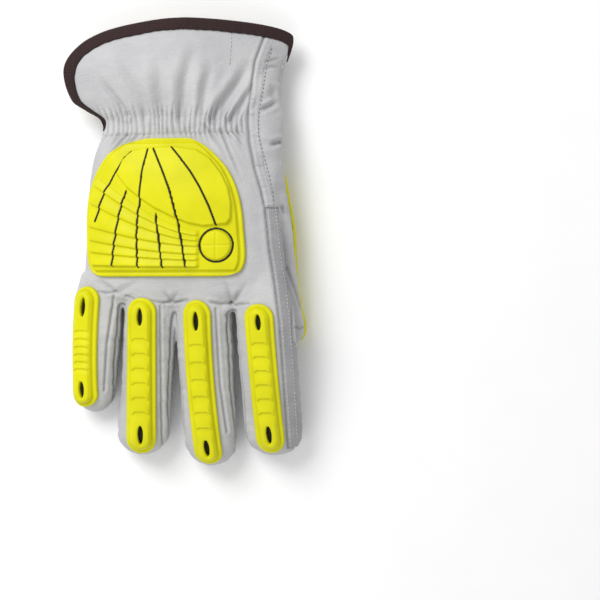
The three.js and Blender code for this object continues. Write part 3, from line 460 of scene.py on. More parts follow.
def refine(data, tris, where, longest):
    """Splits each edge that is longer than a length and whose middle passes a test."""
    corners = np.stack([tris, np.roll(tris, -1, axis=1)], -1).reshape(-1, 2)
    edges, which = np.unique(np.sort(corners, 1), axis=0, return_inverse=True)
    a, b = data[edges[:, 0]], data[edges[:, 1]]
    marked = (np.linalg.norm(a[:, :3] - b[:, :3], axis=1) > longest) & where((a + b)[:, :3] / 2)
    number = np.where(marked, len(data) + np.cumsum(marked) - 1, -1)
    middle = number[which.reshape(-1, 3)]
    code = (middle >= 0) @ np.array([1, 2, 4])
    result = [tris[code == 0]]
    for turn, one, two in ((0, 1, 3), (1, 2, 6), (2, 4, 5)):
        t, m = np.roll(tris, -turn, axis=1), np.roll(middle, -turn, axis=1)
        (i, j, k), (ij, jk, _) = t[code == one].T, m[code == one].T
        result += [np.stack([i, ij, k], 1), np.stack([ij, j, k], 1)]
        (i, j, k), (ij, jk, _) = t[code == two].T, m[code == two].T
        result += [np.stack([ij, j, jk], 1), np.stack([i, ij, jk], 1), np.stack([i, jk, k], 1)]
    (i, j, k), (ij, jk, ki) = tris[code == 7].T, middle[code == 7].T
    result += [np.stack(c, 1) for c in ((i, ij, ki), (ij, j, jk), (ki, jk, k), (ij, jk, ki))]
    return np.concatenate([data, ((a + b) / 2)[marked]]), np.concatenate(result)


# The leather's folds. Places are read in the picture's columns and rows.
CUFF_VALLEYS = [  # places, half width and depth in millimetres
    ([(96, 70), (107, 88), (119, 103), (128, 116)], 1.5, 1.5),
    ([(114, 50), (131, 80), (142, 100), (147, 116)], 2.6, 1.2),
    ([(158, 55), (161, 90), (164, 117)], 3.0, 1.4),
    ([(196, 45), (187, 80), (183, 118)], 3.0, 2.2),
    ([(214, 60), (206, 90), (203, 116)], 2.2, 1.1),
    ([(254, 55), (240, 84), (227, 102), (214, 120)], 2.6, 2.8),
    ([(258, 76), (245, 101), (231, 122)], 1.8, 1.8),
]
BACK_CREASES = [
    ([(222, 132), (230, 152), (238, 170), (246, 190)], 0.8, 0.8),
    ([(206, 128), (222, 148), (232, 170)], 1.1, 0.7),
    ([(238, 132), (244, 158)], 1.2, 0.5),
    ([(128, 136), (114, 152), (103, 168)], 0.8, 0.9),
    ([(120, 136), (108, 152)], 1.1, 0.6),
    ([(139, 137), (124, 150)], 1.0, 0.5),
]
SIDE_CREASES = [
    ([(259, 112), (269, 107), (279, 101)], 1.3, 1.9),
    ([(270, 100), (276, 84)], 2.4, 1.3),
    ([(268, 147), (279, 143), (292, 139)], 1.3, 2.0),
    ([(262, 62), (270, 61), (282, 57)], 0.7, 0.45),
    ([(263, 69), (272, 67), (282, 66)], 0.7, 0.4),
    ([(281, 205), (284, 209), (287, 215)], 1.2, 1.6),
]
FINGER_SEAMS = [
    [(114, 296), (107, 345), (104, 391)],
    [(161, 306), (161.5, 380), (162, 446)],
    [(216.7, 309), (220.9, 386), (227, 432)],
    [(98, 291), (107, 293), (116, 292)],
    [(127, 296), (135, 298)],
    [(152, 300), (163, 303), (172, 302)],
    [(175, 303), (189, 300)],
    [(211, 302), (222, 304), (232, 303)],
    [(236, 305), (250, 303)],
    [(286, 267), (294, 287), (301.5, 308)],
    [(294, 327), (300, 329), (306, 326)],
]
BASE_CREASES = [
    ([(116, 292), (104, 283), (90, 279)], 1.3, 0.7),
    ([(118, 293), (134, 283), (150, 280)], 1.6, 0.6),
    ([(172, 301), (162, 289)], 1.3, 0.6),
    ([(173, 301), (181, 289)], 1.3, 0.4),
    ([(232, 303), (228, 286), (222, 276)], 1.3, 0.6),
    ([(234, 303), (243, 290), (250, 280)], 1.3, 0.7),
]
CROTCHES = [(117, 296), (171, 306), (231, 308)]
ELASTIC = (61.5, 78.0)  # the elastic's reach along Y
PLEAT = 2.9
STITCH_LINE = 64.6


def crease_at(p, places, width, depth, fade):
    """How far a crease moves the leather, and how dark its painted shade is; it fades at its first end, last end or
    both.
    """
    d, share = line_place(p, line_of(*places))
    strong = {"first": smooth(share, 0.0, 0.6), "last": 1 - smooth(share, 0.25, 1.0),
              "both": 1 - smooth(np.abs(2 * share - 1), 0.3, 1.0)}[fade]
    move = depth * strong * (0.4 * np.exp(-(((d - 2.1 * width) / width) ** 2)) - np.exp(-((d / width) ** 2)))
    return move, strong * np.exp(-((d / 0.7) ** 2))


def fold_field(p, n):
    """How far the leather moves along its normal, and how deep in a crease each place is, from 0 to 1; the second
    value is painted shade that darkens the leather's colour in its pleats, creases, seams and pucker hollows.
    """
    x, y, z = p.T
    top = smooth(n[:, 2], 0.0, 0.3)
    # The elastic's pleats fan out above and below it.
    across = smooth(x, -56, -47) * (1 - smooth(x, 31, 36))
    low, high = ELASTIC
    fan = 1 + 0.022 * np.clip(low + 4 - y, 0, 16) + 0.012 * np.clip(y - high + 4, 0, 14)
    flat = np.stack([x / fan, 0.35 * y, 0 * x], 1)
    phase = (x + 8) / fan / PLEAT + 0.55 * soft_noise(flat, (9, 9, 9), 11)
    number = np.floor(phase)
    tall = 0.75 + 0.45 * soft_noise(np.stack([number * 7.3, y * 0.12, 0 * x], 1), (1, 1, 1), 12)
    saw = phase - number
    pleat = np.sin(np.pi * saw) ** 0.7
    band = smooth(y, low - 2, low + 4) * (1 - smooth(y, high - 3, high + 5 + 2 * np.sin(number * 1.7)))
    tails = 0.5 * smooth(y, 47, 58) * (1 - smooth(y, low, low + 2)) * smooth(tall, 0.7, 1.1)
    amount = top * across * np.maximum(band, tails)
    total = amount * tall * 1.5 * (pleat - 0.45)
    # Painted shade in the pleats' valleys, and along the elastic's stitch line below.
    shade = amount * np.exp(-((np.minimum(saw, 1 - saw) / 0.12) ** 2)) * 0.8
    stitch = top * across * np.exp(-(((y - STITCH_LINE - 0.02 * x) / 0.8) ** 2))
    total -= 0.5 * stitch
    shade = np.maximum(shade, 0.15 * stitch)
    for group, fade in ((CUFF_VALLEYS, "first"), (BACK_CREASES, "last"), (SIDE_CREASES, "both"),
                        (BASE_CREASES, "last")):
        for places, width, depth in group:
            move, dark = crease_at(p, places, width, depth, fade)
            total += top * move
            shade = np.maximum(shade, top * dark * (0.25 if width >= 1.5 else 0.6))
    for places in FINGER_SEAMS:
        d = line_distance(p, line_of(*places))
        total += top * (0.3 * np.exp(-(((d - 1.7) / 0.9) ** 2)) - 0.75 * np.exp(-((d / 0.7) ** 2)))
        shade = np.maximum(shade, top * np.exp(-((d / 0.5) ** 2)))
    # The sewn-down strip between the two seams of the thumb panel, with its puckers.
    from_seam = x - line_x(BACK_SEAM, y)
    strip = top * smooth(from_seam, 0.2, 0.9) * (1 - smooth(from_seam, 5.0, 5.6)) * smooth(y, 22, 26)
    puckers = soft_noise(p, (9, 1.5, 9), 13)
    total += strip * (0.45 + 0.3 * puckers)
    shade = np.maximum(shade, strip * 0.5 * smooth(-puckers, 0.35, 0.7))
    # Puckers down the side of the cuff.
    side = top * smooth(x, 36, 48) * smooth(y, 2, 20) * (1 - smooth(y, 112, 122))
    total += side * (0.8 * soft_noise(p, (14, 4.2, 11), 14) + 1.5 * soft_noise(p, (14, 15, 14), 15))
    # Bunches of leather where the fingers part, and wrinkles along the fingers' sides.
    for cx, cy in line_of(*CROTCHES):
        d = np.hypot(x - cx, (y - cy) * 0.7)
        total += 0.8 * np.exp(-((d / 6) ** 2)) * soft_noise(p, (2.6, 4.5, 3), 16)
    ends = smooth(-y, 34, 44)
    total += ends * 0.34 * soft_noise(p, (13, 3.0, 12), 17)
    total += 0.45 * soft_noise(p, (22, 19, 18), 18) + 0.13 * soft_noise(p, (6, 2.6, 6), 19)
    return total, np.clip(shade, 0, 1)


def covered(p, n):
    """1 under a guard, where the leather stays smooth, falling to 0 around it."""
    up = smooth(n[:, 2], -0.2, 0.1)
    cover = up * smooth(plate_margin(p[:, 0], p[:, 1]), -4.0, 0.0)
    for places, width, _ in GUARDS.values():
        d = line_distance(p, guard_curve(places, np.linspace(0.06, 0.94, 9)))
        cover = np.maximum(cover, up * (1 - smooth(d, width / 2 - 0.5, width / 2 + 3)))
    y0, y1, width, _ = THUMB_GUARD
    near = smooth(p[:, 1], y1 * THUMB_LENGTH - 3, y1 * THUMB_LENGTH) * (
        1 - smooth(p[:, 1], y0 * THUMB_LENGTH, y0 * THUMB_LENGTH + 3))
    share = np.clip((p[:, 1] / THUMB_LENGTH - y0) / (y1 - y0), 0, 1)
    at = thumb.point(thumb_turn(share), p[:, 1])
    d = np.hypot(p[:, 0] - at[:, 0], p[:, 2] - at[:, 2])
    return np.maximum(cover, near * (1 - smooth(d, width / 2, width / 2 + 3)))


def clip(mesh, field):
    """Splits a mesh where a value crosses zero: (the part above, the part below). A mesh is (data, tris)."""
    data, tris = mesh
    value = np.where(np.abs(field) < 1e-6, 1e-6, field)
    positive = value > 0
    edges = np.sort(np.concatenate([tris[:, [0, 1]], tris[:, [1, 2]], tris[:, [2, 0]]]), 1)
    edges = np.unique(edges, axis=0)
    crossing = edges[positive[edges[:, 0]] != positive[edges[:, 1]]]
    a, b = crossing.T
    t = (value[a] / (value[a] - value[b]))[:, None]
    cut = data[a] * (1 - t) + data[b] * t
    everything = np.concatenate([data, cut])
    key = {(int(i), int(j)): len(data) + k for k, (i, j) in enumerate(crossing)}

    def between(i, j):
        return key[(i, j) if i < j else (j, i)]

    sides = {True: [], False: []}
    count = positive[tris].sum(1)
    sides[True].append(tris[count == 3])
    sides[False].append(tris[count == 0])
    mixed = {True: [], False: []}
    for tri in tris[(count == 1) | (count == 2)]:
        i, j, k = (int(v) for v in tri)
        lone = positive[tri].sum() == 1
        while positive[i] != lone or positive[j] == lone:
            i, j, k = j, k, i
            if positive[i] == lone and positive[j] != lone and positive[k] != lone:
                break
        ij, ik = between(i, j), between(i, k)
        mixed[bool(lone)].append((i, ij, ik))
        mixed[not lone] += [(ij, j, k), (ij, k, ik)]
    result = []
    for side in (True, False):
        joined = [s for s in sides[side] if len(s)]
        if mixed[side]:
            joined.append(np.array(mixed[side]))
        if not joined:
            result.append((everything[:0], np.zeros((0, 3), int)))
            continue
        joined = np.concatenate(joined)
        used, inverse = np.unique(joined, return_inverse=True)
        result.append((everything[used], inverse.reshape(-1, 3)))
    return result


def main_bodies(mesh, least):
    """Leaves out crumbs of a mesh that have fewer than a number of triangles."""
    data, tris = mesh
    owner = np.arange(len(data))
    while True:
        low = owner[tris].min(1)
        new = owner.copy()
        for k in range(3):
            np.minimum.at(new, tris[:, k], low)
        new = new[new]
        if np.array_equal(new, owner):
            break
        owner = new
    label = owner[tris[:, 0]]
    names, counts = np.unique(label, return_counts=True)
    keep = np.isin(label, names[counts >= least])
    used, inverse = np.unique(tris[keep], return_inverse=True)
    return data[used], inverse.reshape(-1, 3)


def border_edges(tris):
    edges = np.concatenate([tris[:, [0, 1]], tris[:, [1, 2]], tris[:, [2, 0]]])
    low_high = np.sort(edges, 1)
    _, index, count = np.unique(low_high, axis=0, return_index=True, return_counts=True)
    return edges[index[count == 1]]


def shell(name, mesh, wall, material):
    """A panel with thickness: its outer face, an inner face one wall in, and the edge between them."""
    data, tris = mesh
    outer, normals = data[:, :3], data[:, 3:6]
    inner = outer - normals * wall
    border = border_edges(tris)
    n = len(outer)
    rim = np.concatenate([np.stack([border[:, 0], border[:, 0] + n, border[:, 1] + n], 1),
                          np.stack([border[:, 0], border[:, 1] + n, border[:, 1]], 1)])
    faces = np.concatenate([tris, tris[:, ::-1] + n, rim[:, ::-1]])
    obj = new_object(name, np.concatenate([outer, inner]), faces, material)
    # The crease attribute carries painted shade for the leather's creases and seams.
    crease = obj.data.attributes.new("crease", "FLOAT", "POINT")
    crease.data.foreach_set("value", np.concatenate([data[:, 7], data[:, 7]]).astype(np.float32))
    return obj


# Materials.
def material(name, colour, roughness, setup=None):
    m = bpy.data.materials.new(name)
    m.use_nodes = True
    nodes, links = m.node_tree.nodes, m.node_tree.links
    shader = nodes["Principled BSDF"]
    shader.inputs["Base Color"].default_value = (*colour, 1)
    shader.inputs["Roughness"].default_value = roughness
    if setup:
        setup(nodes, links, shader)
    return m


def add(nodes, kind, **values):
    node = nodes.new(kind)
    for key, value in values.items():
        if key in node.inputs:
            node.inputs[key].default_value = value
        else:
            setattr(node, key, value)
    return node


def ramp(nodes, stops):
    node = nodes.new("ShaderNodeValToRGB")
    while len(node.color_ramp.elements) < len(stops):
        node.color_ramp.elements.new(0.5)
    for element, (position, colour) in zip(node.color_ramp.elements, stops):
        element.position = position
        element.color = (*colour, 1) if len(colour) == 3 else colour
    return node


def textured(nodes, links, vector, kind, **values):
    node = add(nodes, kind, **values)
    links.new(vector, node.inputs["Vector"])
    return node


def bumped(nodes, links, shader, height, strength, distance):
    bump = add(nodes, "ShaderNodeBump", Strength=strength, Distance=distance)
    links.new(height, bump.inputs["Height"])
    links.new(bump.outputs["Normal"], shader.inputs["Normal"])


def tinted(nodes, links, share, stops):
    tint = ramp(nodes, stops)
    links.new(share, tint.inputs["Fac"])
    return tint.outputs["Color"]


def leather_setup(dark, light):
    """Leather with crosswise wrinkles and pores; the crease attribute mixes in painted shade, darkening its creases
    and seams.
    """
    def setup(nodes, links, shader):
        place = nodes.new("ShaderNodeTexCoord").outputs["Object"]
        stretch = textured(nodes, links, place, "ShaderNodeMapping", Scale=(0.6, 1.5, 1.0))
        wrinkle = textured(nodes, links, stretch.outputs["Vector"], "ShaderNodeTexNoise",
                           Scale=420.0, Detail=6.0, Roughness=0.62, Distortion=0.8)
        pores = textured(nodes, links, place, "ShaderNodeTexVoronoi", Scale=1150.0)
        mix = add(nodes, "ShaderNodeMath", operation="MULTIPLY_ADD")
        mix.inputs[1].default_value = 0.35
        links.new(pores.outputs["Distance"], mix.inputs[0])
        links.new(wrinkle.outputs["Fac"], mix.inputs[2])
        bumped(nodes, links, shader, mix.outputs[0], 0.75, 0.0005)
        cloud = textured(nodes, links, place, "ShaderNodeTexNoise", Scale=38.0, Detail=4.0, Roughness=0.55)
        # Painted shade: the crease attribute darkens the base colour towards a third of the dark tone in creases and
        # along seams.
        crease = add(nodes, "ShaderNodeAttribute", attribute_name="crease")
        deep = add(nodes, "ShaderNodeMath", operation="MULTIPLY")
        deep.inputs[1].default_value = 0.55
        links.new(crease.outputs["Fac"], deep.inputs[0])
        painted_crease_shade = add(nodes, "ShaderNodeMix", data_type="RGBA")
        painted_crease_shade.inputs[7].default_value = (*(0.3 * c for c in dark), 1)
        links.new(deep.outputs[0], painted_crease_shade.inputs[0])
        links.new(tinted(nodes, links, cloud.outputs["Fac"], [(0.3, dark), (0.7, light)]), painted_crease_shade.inputs[6])
        links.new(painted_crease_shade.outputs[2], shader.inputs["Base Color"])
        shine = add(nodes, "ShaderNodeMapRange")
        shine.inputs["To Min"].default_value = 0.5
        shine.inputs["To Max"].default_value = 0.68
        links.new(wrinkle.outputs["Fac"], shine.inputs["Value"])
        links.new(shine.outputs["Result"], shader.inputs["Roughness"])
    return setup


def speckled(dark, light, scale, strength, shine):
    """A plain stuff with a fine grain and a faint change of tone."""
    def setup(nodes, links, shader):
        place = nodes.new("ShaderNodeTexCoord").outputs["Object"]
        speck = textured(nodes, links, place, "ShaderNodeTexNoise", Scale=scale, Detail=3.0)
        bumped(nodes, links, shader, speck.outputs["Fac"], strength, 0.0003)
        cloud = textured(nodes, links, place, "ShaderNodeTexNoise", Scale=scale / 14, Detail=2.0)
        links.new(tinted(nodes, links, cloud.outputs["Fac"], [(0.35, dark), (0.65, light)]),
                  shader.inputs["Base Color"])
        shader.inputs["Specular IOR Level"].default_value = shine
    return setup


def cloth_setup(scale, strength, dark, light):
    """Cloth with threads both ways."""
    def setup(nodes, links, shader):
        place = nodes.new("ShaderNodeTexCoord").outputs["Object"]
        both = add(nodes, "ShaderNodeMath", operation="MULTIPLY")
        for k, way in enumerate("XY"):
            wave = textured(nodes, links, place, "ShaderNodeTexWave", wave_type="BANDS", bands_direction=way,
                            Scale=scale, Distortion=0.8)
            links.new(wave.outputs["Fac"], both.inputs[k])
        bumped(nodes, links, shader, both.outputs[0], strength, 0.0004)
        links.new(tinted(nodes, links, both.outputs[0], [(0.1, dark), (0.8, light)]),
                  shader.inputs["Base Color"])
    return setup


def greys(*tones):
    return tuple((tone, tone, tone) for tone in tones)


LEATHER_SKIN = material("leather", (0.6, 0.6, 0.61), 0.6,
                        leather_setup((0.435, 0.435, 0.447), (0.53, 0.53, 0.538)))
STRIP_SKIN = material("strip", (0.36, 0.36, 0.37), 0.65, leather_setup((0.3, 0.3, 0.31), (0.39, 0.39, 0.4)))
RUBBER = material("guard", (0.73, 0.76, 0.005), 0.42,
                  speckled((0.62, 0.6, 0.004), (0.68, 0.655, 0.006), 900.0, 0.06, 0.15))
BLACK = material("backing", (0.01, 0.01, 0.011), 0.7,
                 speckled((0.008, 0.008, 0.009), (0.014, 0.014, 0.015), 1300.0, 0.2, 0.3))
TAPE_CLOTH = material("binding", (0.03, 0.015, 0.012), 0.85,
                      cloth_setup(260.0, 0.6, (0.014, 0.004, 0.004), (0.05, 0.014, 0.012)))
KNIT = material("lining", (0.68, 0.62, 0.33), 0.9,
                cloth_setup(330.0, 0.5, (0.5, 0.43, 0.2), (0.7, 0.63, 0.36)))
PALE_THREAD = material("pale_thread", (0.5, 0.5, 0.5), 0.8, speckled(*greys(0.42, 0.58), 2400.0, 0.3, 0.3))
DARK_THREAD = material("dark_thread", (0.2, 0.2, 0.2), 0.8, speckled(*greys(0.16, 0.26), 2400.0, 0.3, 0.3))
PAPER = material("floor", (0.93, 0.93, 0.93), 0.9, speckled(*greys(0.925, 0.935), 500.0, 0.02, 0.1))


def finish_piece(obj, nodes):
    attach(obj, "root")
    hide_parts(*nodes)
    return obj


# The leather skin.
def tape_reach(angles):
    """How far along Y the binding's edge lies from the hem."""
    before, after = angles - 3, angles + 3
    y = hem_at(angles)
    level = np.linalg.norm(hand.point(after, y) - hand.point(before, y), axis=-1)
    slanted = np.linalg.norm(hand.point(after, hem_at(after)) - hand.point(before, hem_at(before)), axis=-1)
    return np.minimum(TAPE_WIDTH * slanted / level, 2.3 * TAPE_WIDTH)


def cuff_angle(p):
    """The angle round the cuff of points on it or near it."""
    _, u, w, power = hand.local(p)
    c = shape(np.clip(u, -1, 1), power / 2)
    level = np.sqrt(np.maximum(1 - c**2, 0))
    h = np.where(p[:, 2] < 1.8, -level, shape(np.clip(w, -1, 1), power / 2))
    return np.degrees(np.arctan2(h, c))


def tape_share(p):
    """How far places on the cuff are from the hem, in reaches of the binding; large further down."""
    around = cuff_angle(p)
    turns = np.arange(0, 361, 3.0)
    reach = np.interp(np.mod(around, 360), turns, tape_reach(turns))
    return np.where(p[:, 1] > 55, (hem_at(around) - p[:, 1]) / reach, 9.0)


def zones(p):
    """The fields that part the leather into its sewn panels, in the order that the panels are cut out."""
    x, y, z = p.T
    mid = middle_height(x, y)
    thumb_skin = np.where(y < 0.5 * THUMB_LENGTH, (1.09 - thumb.local(p)[0]) * 9, -10.0)
    back_side = np.minimum(x - line_x(BACK_SEAM, y), np.minimum(z - mid, y - STRIP_TOP * HAND_REACH))
    palm_side = np.minimum(x - line_x(PALM_SEAM, y), np.minimum(mid - z + 0.01, y - 0.085 * HAND_REACH))
    strip = np.minimum(x - line_x(STRIP_LEFT, y), line_x(STRIP_RIGHT, y) - x)
    strip = np.minimum(np.minimum(strip, STRIP_TOP * HAND_REACH - y), np.minimum(z - mid + 3, y + 112))
    found = {"thumb_panel": np.maximum(np.maximum(back_side, palm_side), thumb_skin), "index_strip": strip}
    for left, right in (("pinky", "ring"), ("ring", "middle"), ("middle", "index")):
        stop = max(FINGERS[left][3], FINGERS[right][3]) * HAND_REACH + TIP_ROUND * 0.55
        xl, xr = (fingers[n].section(y, 0.0)["x"] for n in (left, right))
        half = FOURCHETTE * np.sqrt(np.clip((y - stop) / 24, 0.02, 1))
        within = np.minimum(KNUCKLES * HAND_REACH + 3.1 - y, y - stop)
        found[f"fourchette_{left}_{right}"] = np.minimum(
            np.minimum(x - xl - 3, xr - 3 - x), np.minimum(half - np.abs(z - mid), within))
    found["back_panel"] = z - mid - SIDE_SEAM
    return found


def wants_detail(p):
    """Where the skin needs a finer mesh: the pleats, the seams and where the fingers part."""
    x, y, z = p.T
    above = z > middle_height(x, y)
    near = above & (y > 55) & (y < 85) & (x > -56) & (x < 38)
    near |= above & (np.abs(x - line_x(BACK_SEAM, y) - 2.6) < 4.5) & (y > 20)
    near |= above & (np.abs(x - line_x(STRIP_LEFT, y) - 3.0) < 4.5) & (y < 25)
    for places in FINGER_SEAMS:
        near |= above & (line_distance(p, line_of(*places)) < 2.4)
    for places, width, _ in BACK_CREASES + SIDE_CREASES + BASE_CREASES:
        near |= above & (line_distance(p, line_of(*places)) < 2 * width)
    return near


verts, quads = glove_skin()
tris = np.concatenate([quads[:, [0, 1, 2]], quads[:, [0, 2, 3]]])
verts = smooth_mesh(verts, quads, np.full(len(verts), 0.45), 4)
joint = np.zeros(len(verts))
for cx, cy in line_of(*CROTCHES):
    joint = np.maximum(joint, 0.7 * np.exp(-((np.hypot(verts[:, 0] - cx, verts[:, 1] - cy) / 11) ** 2)))
joint = np.maximum(joint, smooth(-verts[:, 1], 14, 22) * (1 - smooth(-verts[:, 1], 36, 46)) * 0.6)
out_thumb = thumb.local(verts)[0]
joint = np.maximum(joint, np.exp(-(((out_thumb - 1.1) / 0.25) ** 2)) * smooth(verts[:, 1], -14, 4) * 0.9)
verts = smooth_mesh(verts, quads, 0.6 * joint, 16)
for longest in (0.85,):
    verts, tris = refine(verts, tris, wants_detail, longest)
normals = vertex_normals(verts, tris)
if normals[np.argmax(verts[:, 2]), 2] < 0:
    tris = tris[:, ::-1]
    normals = -normals
# The rings' closed ends lie inside the cuff; they go with what lies beyond the hem.
ends = (verts[:, 1] > 40) & (hand.local(verts)[0] < 0.75)
height, shade = fold_field(verts, normals)
taped = tape_share(verts)
height = height * (1 - covered(verts, normals)) * smooth(taped, 1.0, 1.9)
height -= 0.45 * (1 - smooth(taped, 0.8, 1.1))
verts = verts + normals * height[:, None]
verts[:, 2] = np.maximum(verts[:, 2], 0.02)

hem_field = np.where(verts[:, 1] > 40, hem_at(cuff_angle(verts)) - verts[:, 1], 10.0)
hem_field = np.where(ends, -5.0, hem_field)
fields = zones(verts)
data = np.column_stack([verts, normals, hem_field, shade, *fields.values()])
whole, _ = clip((data, tris), data[:, 6])
panels = {}
rest = whole
for k, name in enumerate(fields):
    panels[name], rest = clip(rest, rest[0][:, 8 + k])
panels["palm_panel"] = rest

# Every seam is drawn in where two panels meet; the leather puffs a little on both sides of it.
for name in panels:
    panels[name] = main_bodies(panels[name], 8)
seams = np.concatenate([d[np.unique(border_edges(t))] for d, t in panels.values()])
seams = seams[seams[:, 6] > 1.0]
tree = KDTree(len(seams))
for number, place in enumerate(seams):
    tree.insert(place[:3], number)
tree.balance()
for name, (d, t) in panels.items():
    far = np.array([tree.find(p)[2] for p in d[:, :3]])
    puff = 0.28 * np.exp(-(((far - 2.0) / 1.0) ** 2)) - 0.75 * np.exp(-((far / 0.8) ** 2))
    moved = d.copy()
    moved[:, :3] += d[:, 3:6] * puff[:, None]
    moved[:, 2] = np.maximum(moved[:, 2], 0.02)
    # Painted shade: the leather's colour is darkened in a narrow line along each seam.
    moved[:, 7] = np.maximum(d[:, 7], np.exp(-((far / 0.55) ** 2)))
    panels[name] = (moved, t)
    skin = STRIP_SKIN if name == "index_strip" else LEATHER_SKIN
    finish_piece(shell(name + "_skin", (moved, t), LEATHER, skin), [name])


# The cuff's lining and binding.
def cuff_ring(angles, share, inset, beyond=0.0):
    wide = tape_reach(angles)
    edge = hem_at(angles) - wide
    wrist = WRIST * HAND_REACH
    further = beyond * wide / TAPE_WIDTH
    on_tape = edge + (hem_at(angles) - edge) * (share - 1) + further
    y = np.where(share <= 1, wrist + (edge - wrist) * share, on_tape)
    return hand.point(angles, y, inset)


def loop_solid(name, rings, skin):
    """A closed ring-shaped skin: rings (rows, columns, 3), the last row joined to the first."""
    rows, cols = rings.shape[:2]
    closed = np.concatenate([rings, rings[:1]])
    faces = np.array(grid_faces(rows + 1, cols, 0, True))
    faces = np.where(faces >= rows * cols, faces - rows * cols, faces)
    return new_object(name, closed[:-1].reshape(-1, 3), faces, skin)


def outward(obj):
    """Turns a closed mesh's faces so that they face out."""
    mesh = obj.data
    volume = 0.0
    for f in mesh.polygons:
        a = mesh.vertices[f.vertices[0]].co
        for i in range(1, len(f.vertices) - 1):
            b, c = mesh.vertices[f.vertices[i]].co, mesh.vertices[f.vertices[i + 1]].co
            volume += a.dot(b.cross(c))
    if volume < 0:
        mesh.flip_normals()
    return obj


def folded(ring):
    """Moves a ring of the lining inwards where the leather over it sinks."""
    normals = np.zeros_like(ring)
    normals[:, 2] = np.sin(np.radians(turns))
    away = smooth(tape_share(ring), 1.0, 1.9)
    sink = 1.15 * away * np.minimum(fold_field(ring, normals)[0], 0)
    sink = sink - 2.3 * smooth(tape_share(ring), 1.1, 2.6)
    centre = hand.section(ring[:, 1], 0.0)
    middle = np.stack([centre["x"], ring[:, 1], centre["z"]], 1)
    inward = (middle - ring) / np.linalg.norm(middle - ring, axis=1, keepdims=True)
    return ring - inward * sink[:, None]


turns = np.arange(480) * 0.75
ribs = 0.22 * np.cos(2 * np.pi * np.arange(480) / 5)
sleeve = [folded(cuff_ring(turns, s, LEATHER + 0.75)) for s in np.linspace(0.0, 2, 44)]
sleeve += [folded(cuff_ring(turns, s, LEATHER + 0.7 + LINING + ribs)) for s in np.linspace(2, 0.0, 44)]
finish_piece(outward(loop_solid("lining_knit", np.array(sleeve), KNIT)), ["lining"])

inside = STACK + GAP + LINING + 2 * GAP
pucker = 0.7 * np.sin(turns * 1.0 * np.pi / 3.0) + 0.4 * np.sin(turns * 0.83)
edge_share = 1.04 + 0.02 * np.sin(turns * 1.3) + 0.015 * np.sin(turns * 0.31)
profile = [  # share of the way over the tape, inset, how far beyond the hem
    (edge_share, -0.12, 0), (edge_share + 0.02, -0.75, 0), (1.15, -0.95 - 0.10 * pucker, 0),
    (1.3, -1.0 - 0.14 * pucker, 0), (1.45, -1.02 - 0.1 * pucker, 0), (1.6, -1.03 - 0.12 * pucker, 0),
    (1.8, -1.05 - 0.1 * pucker, 0), (2.0, -0.95, 0), (2, -0.7, 0.7), (2, 0.2, 1.15), (2, inside / 2, 1.4),
    (2, inside, 1.1), (2, inside + 0.7, 0.6), (1.9, inside + TAPE + 0.1 * pucker, 0),
    (1.6, inside + TAPE + 0.1 * pucker, 0), (1.3, inside + TAPE + 0.1 * pucker, 0),
    (edge_share, inside + TAPE * 0.8, 0), (edge_share, inside, 0), (1.5, inside, 0), (2.0, inside, 0),
    (2, -0.12, GAP), (1.5, -0.12, 0),
]
rows = [cuff_ring(turns, s + 0 * turns, i + 0 * turns, b) for s, i, b in profile]
tape = outward(loop_solid("binding_tape", np.array(rows), TAPE_CLOTH))
finish_piece(tape, ["cuff_binding"])


# The moulded guards.
def moulding(name, columns_at, rows, locate, low, high, hole, skin):
    """A closed patch with a split middle: columns_at(row) gives the sideways places, left then right half."""
    across = np.array([columns_at(v) for v in rows])
    count = across.shape[1]
    half = count // 2
    along = np.broadcast_to(np.array(rows)[:, None], across.shape)
    top = locate(across, along, high(across, along))
    bottom = locate(across, along, low(across, along))
    total = len(rows) * count
    faces = []
    open_rows = [hole(rows[j]) and hole(rows[j + 1]) for j in range(len(rows) - 1)]

    def wall(a, b):
        faces.append([a, a + total, b + total, b])

    for j in range(len(rows) - 1):
        for i in range(count - 1):
            a, d = j * count + i, (j + 1) * count + i
            if i == half - 1 and open_rows[j]:
                wall(a, d)
                wall(d + 1, a + 1)
                if not open_rows[j - 1]:
                    wall(a + 1, a)
                if not open_rows[j + 1]:
                    wall(d, d + 1)
                continue
            faces.append([a, a + 1, d + 1, d])
            faces.append([d + total, d + 1 + total, a + 1 + total, a + total])
        wall((j + 1) * count, j * count)
        wall((j + 1) * count - 1, (j + 2) * count - 1)
    for i in range(count - 1):
        wall(i, i + 1)
        wall(total - count + i + 1, total - count + i)
    verts = np.concatenate([top.reshape(-1, 3), bottom.reshape(-1, 3)])
    return tidy_faces(new_object(name, verts, faces, skin))


def tidy_faces(obj):
    """Makes a closed mesh's faces agree and face out."""
    bm = bmesh.new()
    bm.from_mesh(obj.data)
    bmesh.ops.recalc_face_normals(bm, faces=bm.faces)
    bm.to_mesh(obj.data)
    bm.free()
    return outward(obj)


def arc_walk(tube, angle, y, across):
    """The angles that lie arc lengths to the side of an angle, for one row."""
    angles = angle + np.linspace(-75, 75, 151)
    points = tube.point(angles, y)
    lengths = np.concatenate([[0], np.cumsum(np.linalg.norm(np.diff(points, axis=0), axis=1))])
    lengths -= lengths[75]
    return np.interp(-across, lengths, angles)


SLOT_MIDDLE, SLOT_HALF, SLOT_WIDE = 10.8, 5.0, 1.4


def slot_half(v, length):
    """Half the width of a guard's eye-shaped slot at a place along it; 0 outside."""
    near = min(abs(v - SLOT_MIDDLE), abs(v - (length - SLOT_MIDDLE))) / SLOT_HALF
    return SLOT_WIDE * (1 - near**2) ** 0.62 if near < 1 else 0.0


